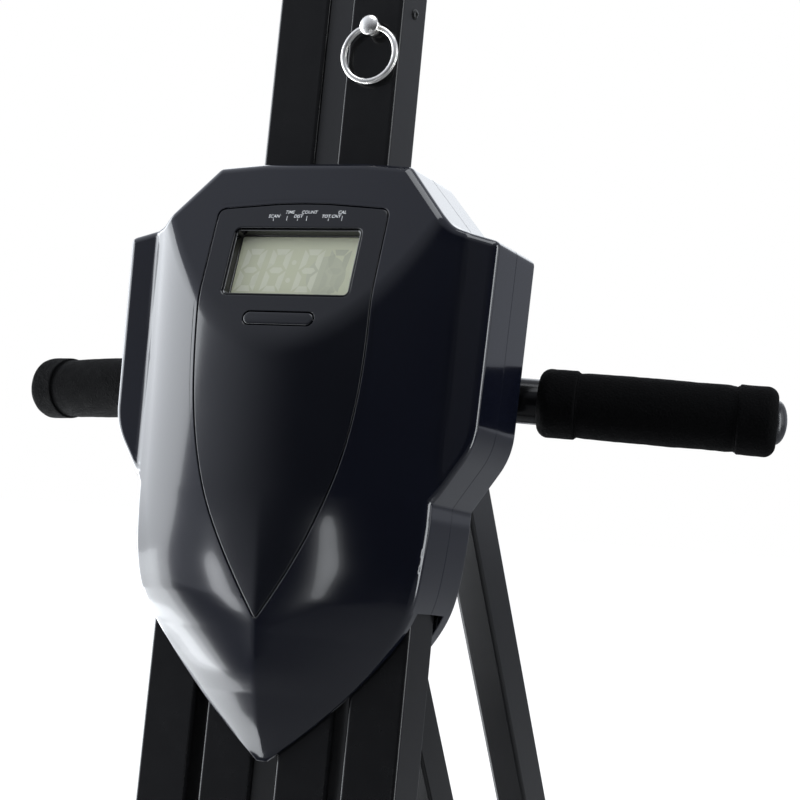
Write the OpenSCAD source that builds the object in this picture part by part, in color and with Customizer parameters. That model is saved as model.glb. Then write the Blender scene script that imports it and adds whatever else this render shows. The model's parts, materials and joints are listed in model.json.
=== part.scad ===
// Vertical climber: a leaning mast with two counter-moving poles, a rear A-frame
// that folds, a console housing, fixed handlebars and height-adjustable moving handles.
// Frame: +Z up, the user stands on the -Y side, origin on the floor in mid-footprint.
// Most pieces are drawn in mast axes: u across, v back from the tubes' front faces, w up the mast.

/* [Overall] */
// Height above the floor of the mast datum, the level of the fixed handlebars
hub_h = 1000; // [900:10:1150]
// Backward lean of the mast, degrees from vertical
lean = 13; // [11:0.5:15]
// Slope of the opened rear legs, degrees from vertical
leg_lean = 24.4; // [22:0.2:27]
// Length of each floor tube, without its rubber feet
base_l = 600; // [520:10:720]

/* [Mast tubes] */
// Outside size of the square uprights and moving poles
tube = 30; // [25:1:34]
// Wall of every steel tube
wall = 1.5; // [1:0.1:2.4]
// Outside corner radius of the square tubes
tube_r = 2.2; // [1.6:0.1:3]
// Distance from the centre plane to each moving pole's centre line
pole_u = 21.45; // [20:0.25:24]
// Gap between a moving pole and the upright beside it
pole_gap = 7; // [5:0.5:10]
// Top of the uprights above the datum
upright_top = 75; // [60:1:78]
// Top of a lowered pole above the datum
pole_top = 240; // [200:5:280]
// Stroke of each pole along the mast
stroke = 240; // [160:5:280]

/* [Base] */
// Depth of the floor tubes, front to back
base_d = 50; // [40:1:60]
// Height of the floor tubes
base_t = 30; // [25:1:40]
// Wall of the rubber feet around the floor tubes
foot_wall = 3; // [2:0.5:5]
// Height of the floor tubes above the floor
foot_drop = 8; // [5:1:14]
// Length of each rubber foot along its floor tube
foot_l = 62; // [45:1:90]
// Thickness of rubber beyond the floor tube's end
foot_end = 24; // [10:1:30]
// Level of the lower crossmember above the floor tube, along the mast
cross_rise = 50; // [35:1:80]
// Height of the rubber bump stops
bump_h = 16; // [10:1:25]

/* [Guides] */
// Height of each nylon guide along the mast
guide_h = 40; // [25:1:50]
// Wall of the nylon guide in front of the poles
guide_wall = 7; // [5:0.5:9]
// Clearance between a pole and its guides
guide_gap = 0.4; // [0.2:0.05:0.8]
// Level of the upper guide's lower face
guide_w = 34; // [20:1:36]
// Thickness of the steel guide straps
strap_t = 3; // [2:0.5:5]

/* [Head bracket] */
// Thickness of the head plate and its lugs
plate_t = 4; // [3:0.5:5]
// Space between the poles and the head plate
plate_gap = 2; // [1.5:0.5:3]
// Lower edge of the head plate
plate_lo = -60; // [-70:1:-50]
// Upper edge of the head plate
plate_hi = 88; // [84:1:92]
// Level of the rear legs' pivot on the mast
pivot_w = 72; // [68:1:76]
// Distance of that pivot behind the tubes' front faces
pivot_v = 69; // [68:1:76]
// Diameter of the pivot bolt
bolt_d = 10; // [8:1:12]
// Radial running clearance of every turning bore
run_gap = 0.05; // [0.02:0.01:0.08]
// Clearance of the bolt in the lugs, radial
lug_gap = 0.1; // [0.05:0.05:0.3]

/* [Belt drive] */
// Thickness of the belt
belt_t = 2; // [1.5:0.1:2.5]
// Width of the belt
belt_b = 8; // [6:0.5:9]
// Width of the pulley over its flanges
pulley_b = 11; // [10:0.5:12]
// Clearance around the pulley under its guard
pulley_clear = 1.05; // [0.6:0.05:6]
// Diameter of the pulley's axle
axle_d = 8; // [6:1:10]
// Level of a raised pole's belt clamp
clamp_w = -96; // [-110:1:-90]

/* [Rear legs] */
// Width of each rear leg across the machine
leg_b = 20; // [18:1:22]
// Depth of each rear leg
leg_d = 30; // [25:1:32]
// Distance from the centre plane to each leg's centre line
leg_u = 32.7; // [30:0.1:34]
// Side gap between a leg and its lugs
leg_gap = 1; // [0.7:0.1:1.5]
// Length of leg above the pivot
leg_over = 20; // [16:1:22]
// Angle short of parallel with the mast at which the folded legs stop, degrees
fold_short = 2.5; // [2:0.5:5]
// Distance of the legs' cross brace below the pivot
brace_l = 560; // [400:10:700]

/* [Pedals] */
// Width of each pedal
pedal_b = 112; // [95:1:130]
// Length of each pedal
pedal_l = 230; // [200:5:260]
// Height of each pedal's rim
pedal_h = 22; // [16:1:30]
// Distance from the centre plane to each pedal's centre
pedal_u = 142; // [138:1:160]
// How far each pedal's centre lies in front of its arm
pedal_fwd = 35; // [20:1:50]
// Clearance between the pedal arm and the upright it crosses
arm_gap = 5; // [3:0.5:8]
// Distance of the pedal arm above the pole's lower end
arm_rise = 50; // [35:1:80]

/* [Handles] */
// Thickness of the guide sleeve between a pole and its handle tube
sleeve_t = 1; // [0.8:0.1:2]
// Top of a lowered pole's handle tube above the datum, handles at their lowest
handle_top = 776; // [700:5:850]
// Length of handle tube inside its pole at the lowest setting
handle_in = 300; // [290:5:340]
// Distance between two height-setting holes
hole_pitch = 38; // [30:1:40]
// Number of steps between the lowest and highest handle setting
hole_steps = 6; // [3:1:6]
// Diameter of the round handlebar tube
bar_d = 24; // [22:0.5:25]
// Bend radius of the moving handlebars
bend_r = 55; // [45:1:70]
// Length of a foam grip
grip_l = 123; // [110:1:140]
// Thickness of the foam at a grip's end collars
foam_t = 6.4; // [6.4:0.1:8]
// Thickness of the foam between its collars
foam_mid_t = 5.4; // [4:0.1:6]
// Width of each end collar
collar_b = 21; // [16:1:26]
// Level of the fixed handlebars' roots
bar_w = 13; // [8:1:18]
// Distance of those roots behind the tubes' front faces
bar_v = 55; // [54.5:0.5:60]
// Backward sweep of the fixed handlebars, degrees
bar_sweep = 14.5; // [8:0.5:20]
// Droop of the fixed handlebars, degrees
bar_droop = 0.6; // [0:0.1:3]
// Distance from a fixed handlebar's root to its foam grip
bar_reach = 48; // [48:1:60]

/* [Pull pins] */
// Level of the pull pins on a lowered pole
pin_w = 196; // [185:1:200]
// Diameter of the pin's head
pin_head_d = 10.6; // [9:0.2:12]
// Diameter of the pin
pin_d = 6; // [5:0.5:7]
// Travel of the pin when pulled
pin_pull = 8; // [7:0.5:9]
// Outside diameter of the ring
ring_d = 31.8; // [26:0.2:34]
// Diameter of the ring's wire
ring_t = 2.8; // [2:0.1:3.2]

/* [Console housing] */
// Wall of both housing shells
shell = 2.5; // [2:0.1:3]
// How far the wings' face stands in front of the tubes
wing_v = 12; // [10:0.5:14]
// Distance of the seam between the shells behind the tubes' front faces
seam_v = 15; // [13:0.5:17]
// Distance of the rear shell's back behind the tubes' front faces
back_v = 42; // [41:0.5:42]
// Slope of the display facet across the mast, as depth lost per unit of height
facet_k = 0.2475; // [0.22:0.0025:0.27]
// Width of the display window
lcd_b = 73; // [66:1:76]
// Height of the display window along the facet
lcd_h = 37.7; // [32:0.5:40]
// Depth of the display glass below the facet
lcd_deep = 6.5; // [4:0.5:8]
// Level of the display window's centre
lcd_w = 67.3; // [64:0.1:69]
// Length of the mode button
button_l = 40; // [30:1:46]
// Height of the mode button
button_b = 7.2; // [6:0.2:9]
// Level of the mode button
button_w = 36.8; // [34:0.2:38]
// Clearance around the mode button
button_gap = 0.3; // [0.2:0.05:0.5]
// Travel of the mode button
button_travel = 1.2; // [0.8:0.1:1.5]

/* [Hidden] */
$fn = 48;
upright_u = pole_u + tube + pole_gap;
upright_out = upright_u + tube / 2;
upright_in = upright_u - tube / 2;
base_z = foot_drop + base_t;
// Places in the Y-Z plane, measured from the mast datum
function mast_y_at(v, w) = v * cos(lean) + w * sin(lean);
function mast_z_at(v, w) = hub_h - v * sin(lean) + w * cos(lean);
// Level on the mast at which depth v meets height z
function mast_w_at(v, z) = (z - hub_h + v * sin(lean)) / cos(lean);
mid_v = tube / 2;
foot_w = mast_w_at(mid_v, base_z);
cross_w = foot_w + cross_rise;
bump_w = cross_w + tube / 2;
stop_gap = 0.5;
pole_bottom = bump_w + bump_h + stop_gap;
arm_w = pole_bottom + arm_rise;
arm_v = -arm_gap - tube / 2;
low_guide_w = arm_w + tube / 2 + stroke + tube;
plate_v = tube + plate_gap;
plate_back = plate_v + plate_t;
lug_in = leg_u - leg_b / 2 - leg_gap;
lug_out = leg_u + leg_b / 2 + leg_gap;
lug_r = 15;
leg_drop = (mast_z_at(pivot_v, pivot_w) - base_z) / cos(leg_lean);
leg_foot_y = mast_y_at(pivot_v, pivot_w) + leg_drop * sin(leg_lean);
// The pedals lie level, so their reach is measured from the low pedal arm's centre
pedal_front_y = mast_y_at(arm_v, arm_w) - pedal_fwd - pedal_l / 2;
foot_front_y = mast_y_at(mid_v, foot_w) - base_d / 2 - foot_wall;
foot_rear_y = leg_foot_y + base_d / 2 + foot_wall;
mast_y = -(min(pedal_front_y, foot_front_y) + foot_rear_y) / 2;
pulley_v = plate_back + 2;
guard_wall = 1.5;
guard_top = pivot_w - lug_r - 2.5;
pulley_rim = 2.5;
pulley_w = guard_top - guard_wall - pulley_clear - pulley_rim - pole_u;
belt_v = pulley_v + (pulley_b - belt_b) / 2;
belt_gap = 0.3;
groove_r = pole_u - belt_t / 2 - belt_gap;
clamp_h = 24;
clamp_b = 20;
bar_r = bar_d / 2;
grip_r = bar_r + foam_t;
grip_mid_r = bar_r + foam_mid_t;
htube = tube - 2 * wall - 2 * sleeve_t;
facet_tilt = atan(facet_k);
button_flange = 1.2;

// ---------- places ----------
module mast() { translate([0, mast_y, hub_h]) rotate([-lean, 0, 0]) children(); }
// Right-hand pieces, mirrored for the left side (s = -1)
module side(s) { mirror([s < 0 ? 1 : 0, 0, 0]) children(); }
// A piece on a pole: the left pole stands a full stroke higher
function lift(s) = s < 0 ? stroke : 0;
module on_pole(s) { side(s) mast() translate([0, 0, lift(s)]) children(); }
// Local Z runs back through the mast
module along_v() { rotate([-90, 0, 0]) children(); }
// Local Z runs across the machine
module along_u() { rotate([0, 90, 0]) children(); }
module leg_axes() {
    translate([0, mast_y + mast_y_at(pivot_v, pivot_w), mast_z_at(pivot_v, pivot_w)])
        rotate([leg_lean, 0, 0]) children();
}
// Local Z runs outward along the fixed handlebar
module bar_axes() {
    mast() translate([upright_u, bar_v, bar_w])
        rotate([0, bar_droop, bar_sweep]) along_u() children();
}
// Local axes on the display facet: x across, y into the housing, z up the facet
module facet(w) { mast() translate([0, facet_v(w), w]) rotate([-facet_tilt, 0, 0]) children(); }

// ---------- shared shapes ----------
module rounded_rect(b, h, r) {
    square([b - 2 * r, h], center = true);
    square([b, h - 2 * r], center = true);
    for (x = [-1, 1], y = [-1, 1])
        translate([x * (b / 2 - r), y * (h / 2 - r)]) circle(r);
}
module box_tube(b, d, l) {
    linear_extrude(l) difference() {
        rounded_rect(b, d, tube_r);
        square([b - 2 * wall, d - 2 * wall], center = true);
    }
}
module tube_ring(ro, ri, l) {
    difference() {
        cylinder(r = ro, h = l);
        translate([0, 0, -1]) cylinder(r = ri, h = l + 2);
    }
}
module below(z) { translate([-1000, -2000, z - 400]) cube([2000, 4000, 400]); }
// Foam grip along local Z from 0: two soft-ended collars and a body a little thinner
module grip_shape() {
    e = 6;
    step = 1.2;
    arc = 6;
    rotate_extrude() polygon(concat(
        [[bar_r, 0]],
        [for (i = [0:arc]) [grip_r - e + e * sin(90 * i / arc), e - e * cos(90 * i / arc)]],
        [[grip_r, collar_b - step], [grip_mid_r - step, collar_b],
         [grip_mid_r, collar_b + step], [grip_mid_r, grip_l - collar_b - step],
         [grip_mid_r - step, grip_l - collar_b], [grip_r, grip_l - collar_b + step]],
        [for (i = [arc:-1:0])
            [grip_r - e + e * sin(90 * i / arc), grip_l - e + e * cos(90 * i / arc)]],
        [[bar_r, grip_l]]));
}
// Domed plug for a bar's end, its rim at local Z 0
cap_in = 18;
cap_dome = 8;
cap_rim = 3;
module cap_shape() {
    arc = 6;
    rotate_extrude() polygon(concat(
        [[0, -cap_in], [bar_r - wall - 0.1, -cap_in], [bar_r - wall - 0.1, 0], [bar_r, 0]],
        [for (i = [0:arc])
            [bar_r * cos(90 * i / arc), cap_rim + (cap_dome - cap_rim) * sin(90 * i / arc)]]));
}

// ---------- outline of the housing ----------
// Point i of n along a quadratic or cubic curve
function quad_at(a, b, c, t) = (1 - t) * (1 - t) * a + 2 * t * (1 - t) * b + t * t * c;
function cubic_at(a, b, c, d, t) =
    (1 - t) * quad_at(a, b, c, t) + t * quad_at(b, c, d, t);
function unit(p) = p / norm(p);
// A corner at b between a and c, rounded to radius r
function rounded(a, b, c, r, n) =
    let (p = unit(a - b), q = unit(c - b), half = acos(p * q) / 2, back = r / tan(half))
    [for (i = [0:n]) quad_at(b + p * back, b, b + q * back, i / n)];
top_half = 28;
tip_half = 2.5;
shoulder = [55, 119.8];
wing_root = [82.9, 88.2];
wing_top = [106.4, 81.9];
ear = [103.3, -16.9];
waist = [upright_out + 10.55, -43.9];
hip = [upright_out + 5.25, -103];
tip = [tip_half, -184];
// Right half of the outline, from the top edge down to the tip
half_outline = concat([[top_half, 122], shoulder],
    rounded(shoulder, wing_root, wing_top, 10, 2),
    rounded(wing_root, wing_top, ear, 4, 2),
    rounded(wing_top, ear, waist, 14, 4),
    rounded(ear, waist, [waist[0], -75], 6, 2),
    [for (t = [1 / 3, 2 / 3, 1]) quad_at([waist[0], -52], [waist[0], -77], hip, t)],
    [for (t = [0.03, 0.18, 0.35, 0.52, 0.69, 0.85, 1]) quad_at(hip, [60, -140], tip, t)]);
hip_row = len(half_outline) - 8;
// Normal of a path at point i, to its left, from the segments on both sides
function seg_n(p, i) = let (d = unit(p[i + 1] - p[i])) [d[1], -d[0]];
function inset_at(p, i, d) =
    let (a = seg_n(p, max(i - 1, 0)), b = seg_n(p, min(i, len(p) - 2)))
    p[i] + (a + b) / (1 + a * b) * d;
function inset(p, d) = let (q = [for (i = [0:len(p) - 1]) inset_at(p, i, d)], n = len(p) - 1)
    [for (i = [0:n]) i == 0 ? [p[0][0], p[0][1] - d]
        : i == n ? [p[n][0], p[n][1] + 1.3 * d] : q[i]];
function mirrored(p) = [for (i = [len(p) - 1:-1:0]) [-p[i][0], p[i][1]]];
module outline(d) {
    h = d == 0 ? half_outline : inset(half_outline, d);
    polygon(concat(h, mirrored(h)));
}

// ---------- skin of the housing's face ----------
// Depth of the keel line up the middle, and of the skin's edge, by level
keel = [[-184, -0.5], [-168, -9.6], [-140, -20.5], [-111, -26], [-60, -32], [0, -35], [130, -40]];
edge = [[-184, -1.5], [-118, -2.5], [-104, -wing_v], [130, -wing_v]];
// Half-width of the raised middle
swell = [[-184, tip_half], [-104, hip[0]], [-50, waist[0]], [0, waist[0] + 1], [81, 87.6], [130, 92]];
function facet_v(w) = -wing_v - facet_k * (122 - w);
function ridge(w) = 0.55 * min(max((-50 - w) / 70, 0), 1);
function bulge(t, k) = (1 - k) * pow(max(1 - t * t, 0), 0.8) + k * (1 - t);
// The half-width given is the outline's own below the hip, where the skin runs to its edge
function skin(u, w, half) =
    let (b = w < hip[1] ? half : lookup(w, swell), e = lookup(w, edge), t = min(abs(u) / b, 1))
    max(facet_v(w), e + (lookup(w, keel) - e) * bulge(t, ridge(w)));

// Closed shell between an outer and an inner skin, each rows of points across the housing
module skin_solid(outer, outer_rim, inner, inner_rim) {
    m = len(outer);
    n = len(outer[0]);
    // The border runs across the top, down the right, back along the bottom and up the left
    border = concat([for (j = [0:n - 1]) j], [for (i = [1:m - 1]) i * n + n - 1],
        [for (j = [n - 2:-1:0]) (m - 1) * n + j], [for (i = [m - 2:-1:1]) i * n]);
    b = len(border);
    grid = m * n;
    outer_loop = [for (k = border) outer_rim[floor(k / n)][k % n]];
    inner_loop = [for (k = border) inner_rim[floor(k / n)][k % n]];
    pts = concat([for (r = outer) each r], [for (r = inner) each r], outer_loop, inner_loop);
    o_rim = 2 * grid;
    i_rim = 2 * grid + b;
    quads = concat(
        [for (i = [0:m - 2], j = [0:n - 2])
            [i * n + j, i * n + j + 1, (i + 1) * n + j + 1, (i + 1) * n + j]],
        [for (i = [0:m - 2], j = [0:n - 2]) [grid + i * n + j, grid + (i + 1) * n + j,
            grid + (i + 1) * n + j + 1, grid + i * n + j + 1]],
        [for (k = [0:b - 1]) let (l = (k + 1) % b) [border[l], border[k], o_rim + k, o_rim + l]],
        [for (k = [0:b - 1]) let (l = (k + 1) % b)
            [grid + border[k], grid + border[l], i_rim + l, i_rim + k]],
        [for (k = [0:b - 1]) let (l = (k + 1) % b) [o_rim + l, o_rim + k, i_rim + k, i_rim + l]]);
    polyhedron(pts, [for (q = quads) each [[q[0], q[1], q[2]], [q[0], q[2], q[3]]]]);
}

// Closed sheet between two skins that share their outline
module sheet_solid(front, back) {
    m = len(front);
    n = len(front[0]);
    border = concat([for (j = [0:n - 1]) j], [for (i = [1:m - 1]) i * n + n - 1],
        [for (j = [n - 2:-1:0]) (m - 1) * n + j], [for (i = [m - 2:-1:1]) i * n]);
    b = len(border);
    grid = m * n;
    quads = concat(
        [for (i = [0:m - 2], j = [0:n - 2])
            [i * n + j, i * n + j + 1, (i + 1) * n + j + 1, (i + 1) * n + j]],
        [for (i = [0:m - 2], j = [0:n - 2]) [grid + i * n + j, grid + (i + 1) * n + j,
            grid + (i + 1) * n + j + 1, grid + i * n + j + 1]],
        [for (k = [0:b - 1]) let (l = (k + 1) % b)
            [border[l], border[k], grid + border[k], grid + border[l]]]);
    polyhedron(concat([for (r = front) each r], [for (r = back) each r]),
        [for (q = quads) each [[q[0], q[1], q[2]], [q[0], q[2], q[3]]]]);
}

// ---------- fixed frame ----------
module upright(s) {
    color("#17181a") difference() {
        side(s) mast() translate([upright_u, mid_v, foot_w - tube])
            box_tube(tube, tube, upright_top - foot_w + tube);
        below(base_z);
    }
}
module left_upright() { upright(-1); }
module right_upright() { upright(1); }

module floor_tube(y) {
    color("#17181a") translate([-base_l / 2, mast_y + y, foot_drop + base_t / 2])
        along_u() box_tube(base_t, base_d, base_l);
}
module feet(y) {
    outer_t = base_z + foot_wall;
    groove = 4;
    color("#101010") for (s = [-1, 1]) side(s) translate([base_l / 2 - foot_l, mast_y + y, 0])
        difference() {
            translate([0, 0, outer_t / 2]) along_u()
                linear_extrude(foot_l + foot_end)
                    rounded_rect(outer_t, base_d + 2 * foot_wall, 6);
            translate([-1, -base_d / 2, foot_drop]) cube([foot_l + 1, base_d, base_t]);
            for (x = [foot_l / 4, foot_l / 2, foot_l * 3 / 4])
                translate([x, -base_d, -1]) cube([groove, 2 * base_d, 3]);
        }
}
module front_floor_tube() { floor_tube(mast_y_at(mid_v, foot_w)); }
module front_feet() { feet(mast_y_at(mid_v, foot_w)); }

module lower_crossmember() {
    color("#17181a") mast() translate([-upright_in, mid_v, cross_w])
        along_u() box_tube(tube, tube, 2 * upright_in);
}
module bump_stops() {
    bump_r = 11;
    color("#202020") for (s = [-1, 1])
        mast() translate([s * pole_u, mid_v, bump_w]) cylinder(r = bump_r, h = bump_h);
}

// Nylon block between the uprights with a square way for each pole
module pole_guide(w, v_back) {
    side_gap = 0.25;
    way = tube + 2 * guide_gap;
    mast() difference() {
        translate([-upright_in + side_gap, -guide_wall, w])
            cube([2 * (upright_in - side_gap), guide_wall + v_back, guide_h]);
        for (s = [-1, 1]) translate([s * pole_u - way / 2, -guide_gap, w - 1])
            cube([way, way, guide_h + 2]);
    }
}
module lower_guide() { color("#e8e6df") pole_guide(low_guide_w, tube + guide_wall); }
module upper_guide() { color("#e8e6df") pole_guide(guide_w, plate_v); }
module lower_guide_straps() {
    // Front strap and rear strap, each with a spacer on both uprights
    color("#202124") mast() for (face = [[-guide_wall - strap_t, -guide_wall],
                                         [tube + guide_wall, tube]])
        translate([0, 0, low_guide_w]) {
            translate([-upright_out, face[0], 0]) cube([2 * upright_out, strap_t, guide_h]);
            for (s = [-1, 1])
                translate([s * upright_u - tube / 2, face[1], 0]) cube([tube, guide_wall, guide_h]);
        }
}

module head_bracket() {
    // The bar that the opened legs' top ends rest on
    stop_r = 4;
    rest_gap = 0.3;
    reach = leg_d / 2 + stop_r + rest_gap;
    a = lean + leg_lean;
    up = leg_over - stop_r;
    stop_v = pivot_v - up * sin(a) - reach * cos(a);
    stop_w = pivot_w + up * cos(a) - reach * sin(a);
    color("#202124") mast() difference() {
        union() {
            translate([-upright_out, plate_v, plate_lo])
                cube([2 * upright_out, plate_t, plate_hi - plate_lo]);
            for (s = [-1, 1]) translate([s * upright_u - tube / 2, tube, plate_lo])
                cube([tube, plate_gap, upright_top - plate_lo]);
            for (s = [-1, 1], u = [lug_in - plate_t, lug_out])
                side(s) translate([u, 0, pivot_w]) {
                    translate([0, plate_v, -lug_r])
                        cube([plate_t, pivot_v - plate_v, 2 * lug_r]);
                    translate([0, pivot_v, 0]) along_u() cylinder(r = lug_r, h = plate_t);
                }
            translate([-lug_out - plate_t / 2, stop_v, stop_w])
                along_u() cylinder(r = stop_r, h = 2 * lug_out + plate_t);
        }
        translate([-lug_out - 2 * plate_t, pivot_v, pivot_w])
            along_u() cylinder(r = bolt_d / 2 + lug_gap, h = 2 * lug_out + 4 * plate_t);
        translate([0, plate_v - 1, pulley_w]) along_v() cylinder(r = axle_d / 2, h = plate_t + 2);
    }
}
module pulley_axle() {
    head_r = 7;
    head_t = 1.4;
    slack = 0.3;
    color("#9a9c9e") mast() translate([0, plate_v, pulley_w]) along_v() {
        cylinder(r = axle_d / 2, h = pulley_v + pulley_b + slack - plate_v);
        translate([0, 0, pulley_v + pulley_b + slack - plate_v]) cylinder(r = head_r, h = head_t);
    }
}
knob_u = lug_out + plate_t + 1;
knob_l = 18;
bolt_end = knob_u + 12;
module pivot_bolt() {
    head_t = 6.4;
    hex_r = 9.8;
    color("#9a9c9e") mast() translate([0, pivot_v, pivot_w]) {
        translate([-lug_out - plate_t - head_t, 0, 0])
            along_u() cylinder(r = hex_r, h = head_t, $fn = 6);
        translate([-lug_out - plate_t, 0, 0])
            along_u() cylinder(r = bolt_d / 2, h = lug_out + plate_t + bolt_end);
    }
}
module fold_knob() {
    core_r = 15;
    lobe_r = 6;
    lobes = 6;
    hub_l = 4;
    color("#151515") mast() translate([knob_u, pivot_v, pivot_w]) along_u() difference() {
        union() {
            cylinder(r = core_r - lobe_r + 2, h = knob_l);
            translate([0, 0, hub_l]) linear_extrude(knob_l - hub_l) {
                circle(core_r);
                for (i = [0:lobes - 1]) rotate(i * 360 / lobes)
                    translate([core_r, 0]) circle(lobe_r);
            }
        }
        translate([0, 0, -1])
            cylinder(r = bolt_d / 2 + run_gap, h = bolt_end - knob_u + 2);
    }
}

// ---------- fixed handlebars ----------
module handlebar(s) {
    stem_r = 11;
    inboard = 12;
    outboard = bar_reach + grip_l - 3;
    color("#141414") side(s) difference() {
        union() {
            bar_axes() translate([0, 0, -inboard]) cylinder(r = bar_r, h = inboard + outboard);
            mast() translate([upright_u, plate_back, bar_w])
                along_v() cylinder(r = stem_r, h = bar_v - plate_back);
        }
        bar_axes() translate([0, 0, wall - inboard])
            cylinder(r = bar_r - wall, h = inboard + outboard);
    }
}
module left_handlebar() { handlebar(-1); }
module right_handlebar() { handlebar(1); }
module fixed_grip(s) {
    color("#1c1c1c") side(s) bar_axes() translate([0, 0, bar_reach]) grip_shape();
}
module left_grip() { fixed_grip(-1); }
module right_grip() { fixed_grip(1); }
module bar_caps() {
    color("#26282c") for (s = [-1, 1])
        side(s) bar_axes() translate([0, 0, bar_reach + grip_l - 3]) cap_shape();
}

// ---------- console housing ----------
// Extrudes an outline drawn in (u, w) from depth v0 back to v1
module slab(v0, v1) { translate([0, v1, 0]) rotate([90, 0, 0]) linear_extrude(v1 - v0) children(); }
cover_gap = 1.5;
module pole_way() {
    half = pole_u + tube / 2 + cover_gap;
    translate([-half, -cover_gap, 105]) cube([2 * half, tube + 2 * cover_gap, 40]);
}
panel_half = concat([[43.5, 94.6]],
    [for (a = [60, 30, 0]) [43.5 + 6 * cos(a), 88.6 + 6 * sin(a)]],
    [[49, 50]],
    [for (i = [1:7]) cubic_at([49, 50], [49, -25], [38, -58], [3, -111], i / 7)]);
panel_t = 2.5;
module panel_outline() { polygon(concat(panel_half, mirrored(panel_half))); }

// Rows of skin points over a half-outline, dug below the outer skin by a depth
function skin_rows(half, cols, dig, limit) = [for (i = [0:len(half) - 1])
    [for (j = [0:cols]) let (u = half[i][0] * (2 * j / cols - 1))
        [u, min(skin(u, half[i][1], half_outline_at(half[i][1])) + dig, limit[i]), half[i][1]]]];
// Half-width of the housing's V at a level below the hip
function half_outline_at(w) = w > hip[1] ? hip[0]
    : let (k = [for (i = [hip_row:len(half_outline) - 1]) half_outline[i]])
        lookup(w, [for (i = [len(k) - 1:-1:0]) [k[i][1], k[i][0]]]);
function flat_rows(half, cols, depth) = [for (i = [0:len(half) - 1])
    [for (j = [0:cols]) [half[i][0] * (2 * j / cols - 1), depth[i], half[i][1]]]];

module front_cover() {
    // The rim meets the seam beside the tubes, and stops in front of them below the hip
    rim = [for (i = [0:len(half_outline) - 1]) i <= hip_row ? seam_v : -1];
    inner = inset(half_outline, shell);
    free = [for (r = rim) 100];
    dig_limit = [for (r = rim) r - 0.2];
    cols = 14;
    color("#12151f") mast() difference() {
        skin_solid(skin_rows(half_outline, cols, 0, free), flat_rows(half_outline, cols, rim),
            skin_rows(inner, cols, shell, dig_limit), flat_rows(inner, cols, rim));
        slab(-60, -5) panel_outline();
        pole_way();
    }
}
module console_panel() {
    cols = 8;
    free = [for (p = panel_half) 100];
    front = skin_rows(panel_half, cols, 0, free);
    back = skin_rows(panel_half, cols, panel_t, free);
    color("#1d1f22") difference() {
        mast() sheet_solid(front, back);
        facet(lcd_w) translate([-lcd_b / 2, -10, -lcd_h / 2]) cube([lcd_b, 20, lcd_h]);
        facet(button_w) slab(-10, 10) rounded_rect(button_l, button_b, button_b / 2 - 0.01);
    }
}
bezel_edge = 3;
bezel_set = 0.8;
bezel_back = 3;
glass_t = 1.8;
module lcd_bezel() {
    fit = 0.2;
    lip = 1.4;
    b = lcd_b - 2 * fit;
    h = lcd_h - 2 * fit;
    color("#0b0c0d") facet(lcd_w) difference() {
        translate([-b / 2, bezel_set, -h / 2]) cube([b, lcd_deep + bezel_back - bezel_set, h]);
        translate([-b / 2 + bezel_edge, -1, -h / 2 + bezel_edge])
            cube([b - 2 * bezel_edge, lcd_deep + 2, h - 2 * bezel_edge]);
        translate([-b / 2 + lip, lcd_deep, -h / 2 + lip])
            cube([b - 2 * lip, bezel_back + 1, h - 2 * lip]);
    }
}
module lcd_glass() {
    lip = 1.8;
    color("#b2b88c") facet(lcd_w) translate([-lcd_b / 2 + lip, lcd_deep, -lcd_h / 2 + lip])
        cube([lcd_b - 2 * lip, glass_t, lcd_h - 2 * lip]);
}
module mode_button() {
    proud = 0.3;
    skirt = 2;
    skirt_v = 2 * panel_t;
    deep = skirt_v + button_flange + button_travel;
    l = button_l - 2 * button_gap;
    b = button_b - 2 * button_gap;
    color("#1d1f22") facet(button_w) {
        slab(-proud, deep) rounded_rect(l, b, b / 2 - 0.01);
        slab(skirt_v, skirt_v + button_flange)
            rounded_rect(l + 2 * skirt, b + 2 * skirt, b / 2);
    }
}
module rear_cover() {
    lobe_v = tube + cover_gap;
    strand_half = pole_u + 14.5;
    lug_half = lug_out + plate_t + 4;
    lug_lo = pivot_w - lug_r - cover_gap;
    stem_hole_r = 13;
    color("#12151f") mast() difference() {
        slab(seam_v, back_v) outline(0);
        slab(seam_v - 1, back_v - shell) outline(shell);
        translate([-150, seam_v - 1, -200]) cube([300, lobe_v - seam_v + 1, 200 + hip[1]]);
        pole_way();
        translate([-strand_half, seam_v, -200]) cube([2 * strand_half, 50, 200 + lug_lo]);
        translate([-lug_half, back_v - 5, lug_lo]) cube([2 * lug_half, 20, 38]);
        for (s = [-1, 1]) translate([s * upright_u, back_v - 5, bar_w])
            along_v() cylinder(r = stem_hole_r, h = 10);
    }
}
module pulley_guard() {
    guard_half = pole_u + 18;
    inner_v = pulley_v + pulley_b + 2.1;
    lo = pulley_w - 30;
    hi = guard_top;
    color("#12151f") mast() difference() {
        translate([-guard_half, back_v, lo])
            cube([2 * guard_half, inner_v + guard_wall - back_v, hi - lo]);
        translate([-guard_half + guard_wall + 1, back_v - 1, lo - 1])
            cube([2 * (guard_half - guard_wall - 1), inner_v - back_v + 1, hi - lo + 1 - guard_wall]);
    }
}
module cover_screws() {
    head_r = 4;
    head_t = 1.8;
    color("#2a2c30") for (s = [-1, 1], p = [[96, 66], [94, 2], [52, -112]])
        mast() translate([s * p[0], back_v, p[1]]) along_v() cylinder(r = head_r, h = head_t);
}

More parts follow.
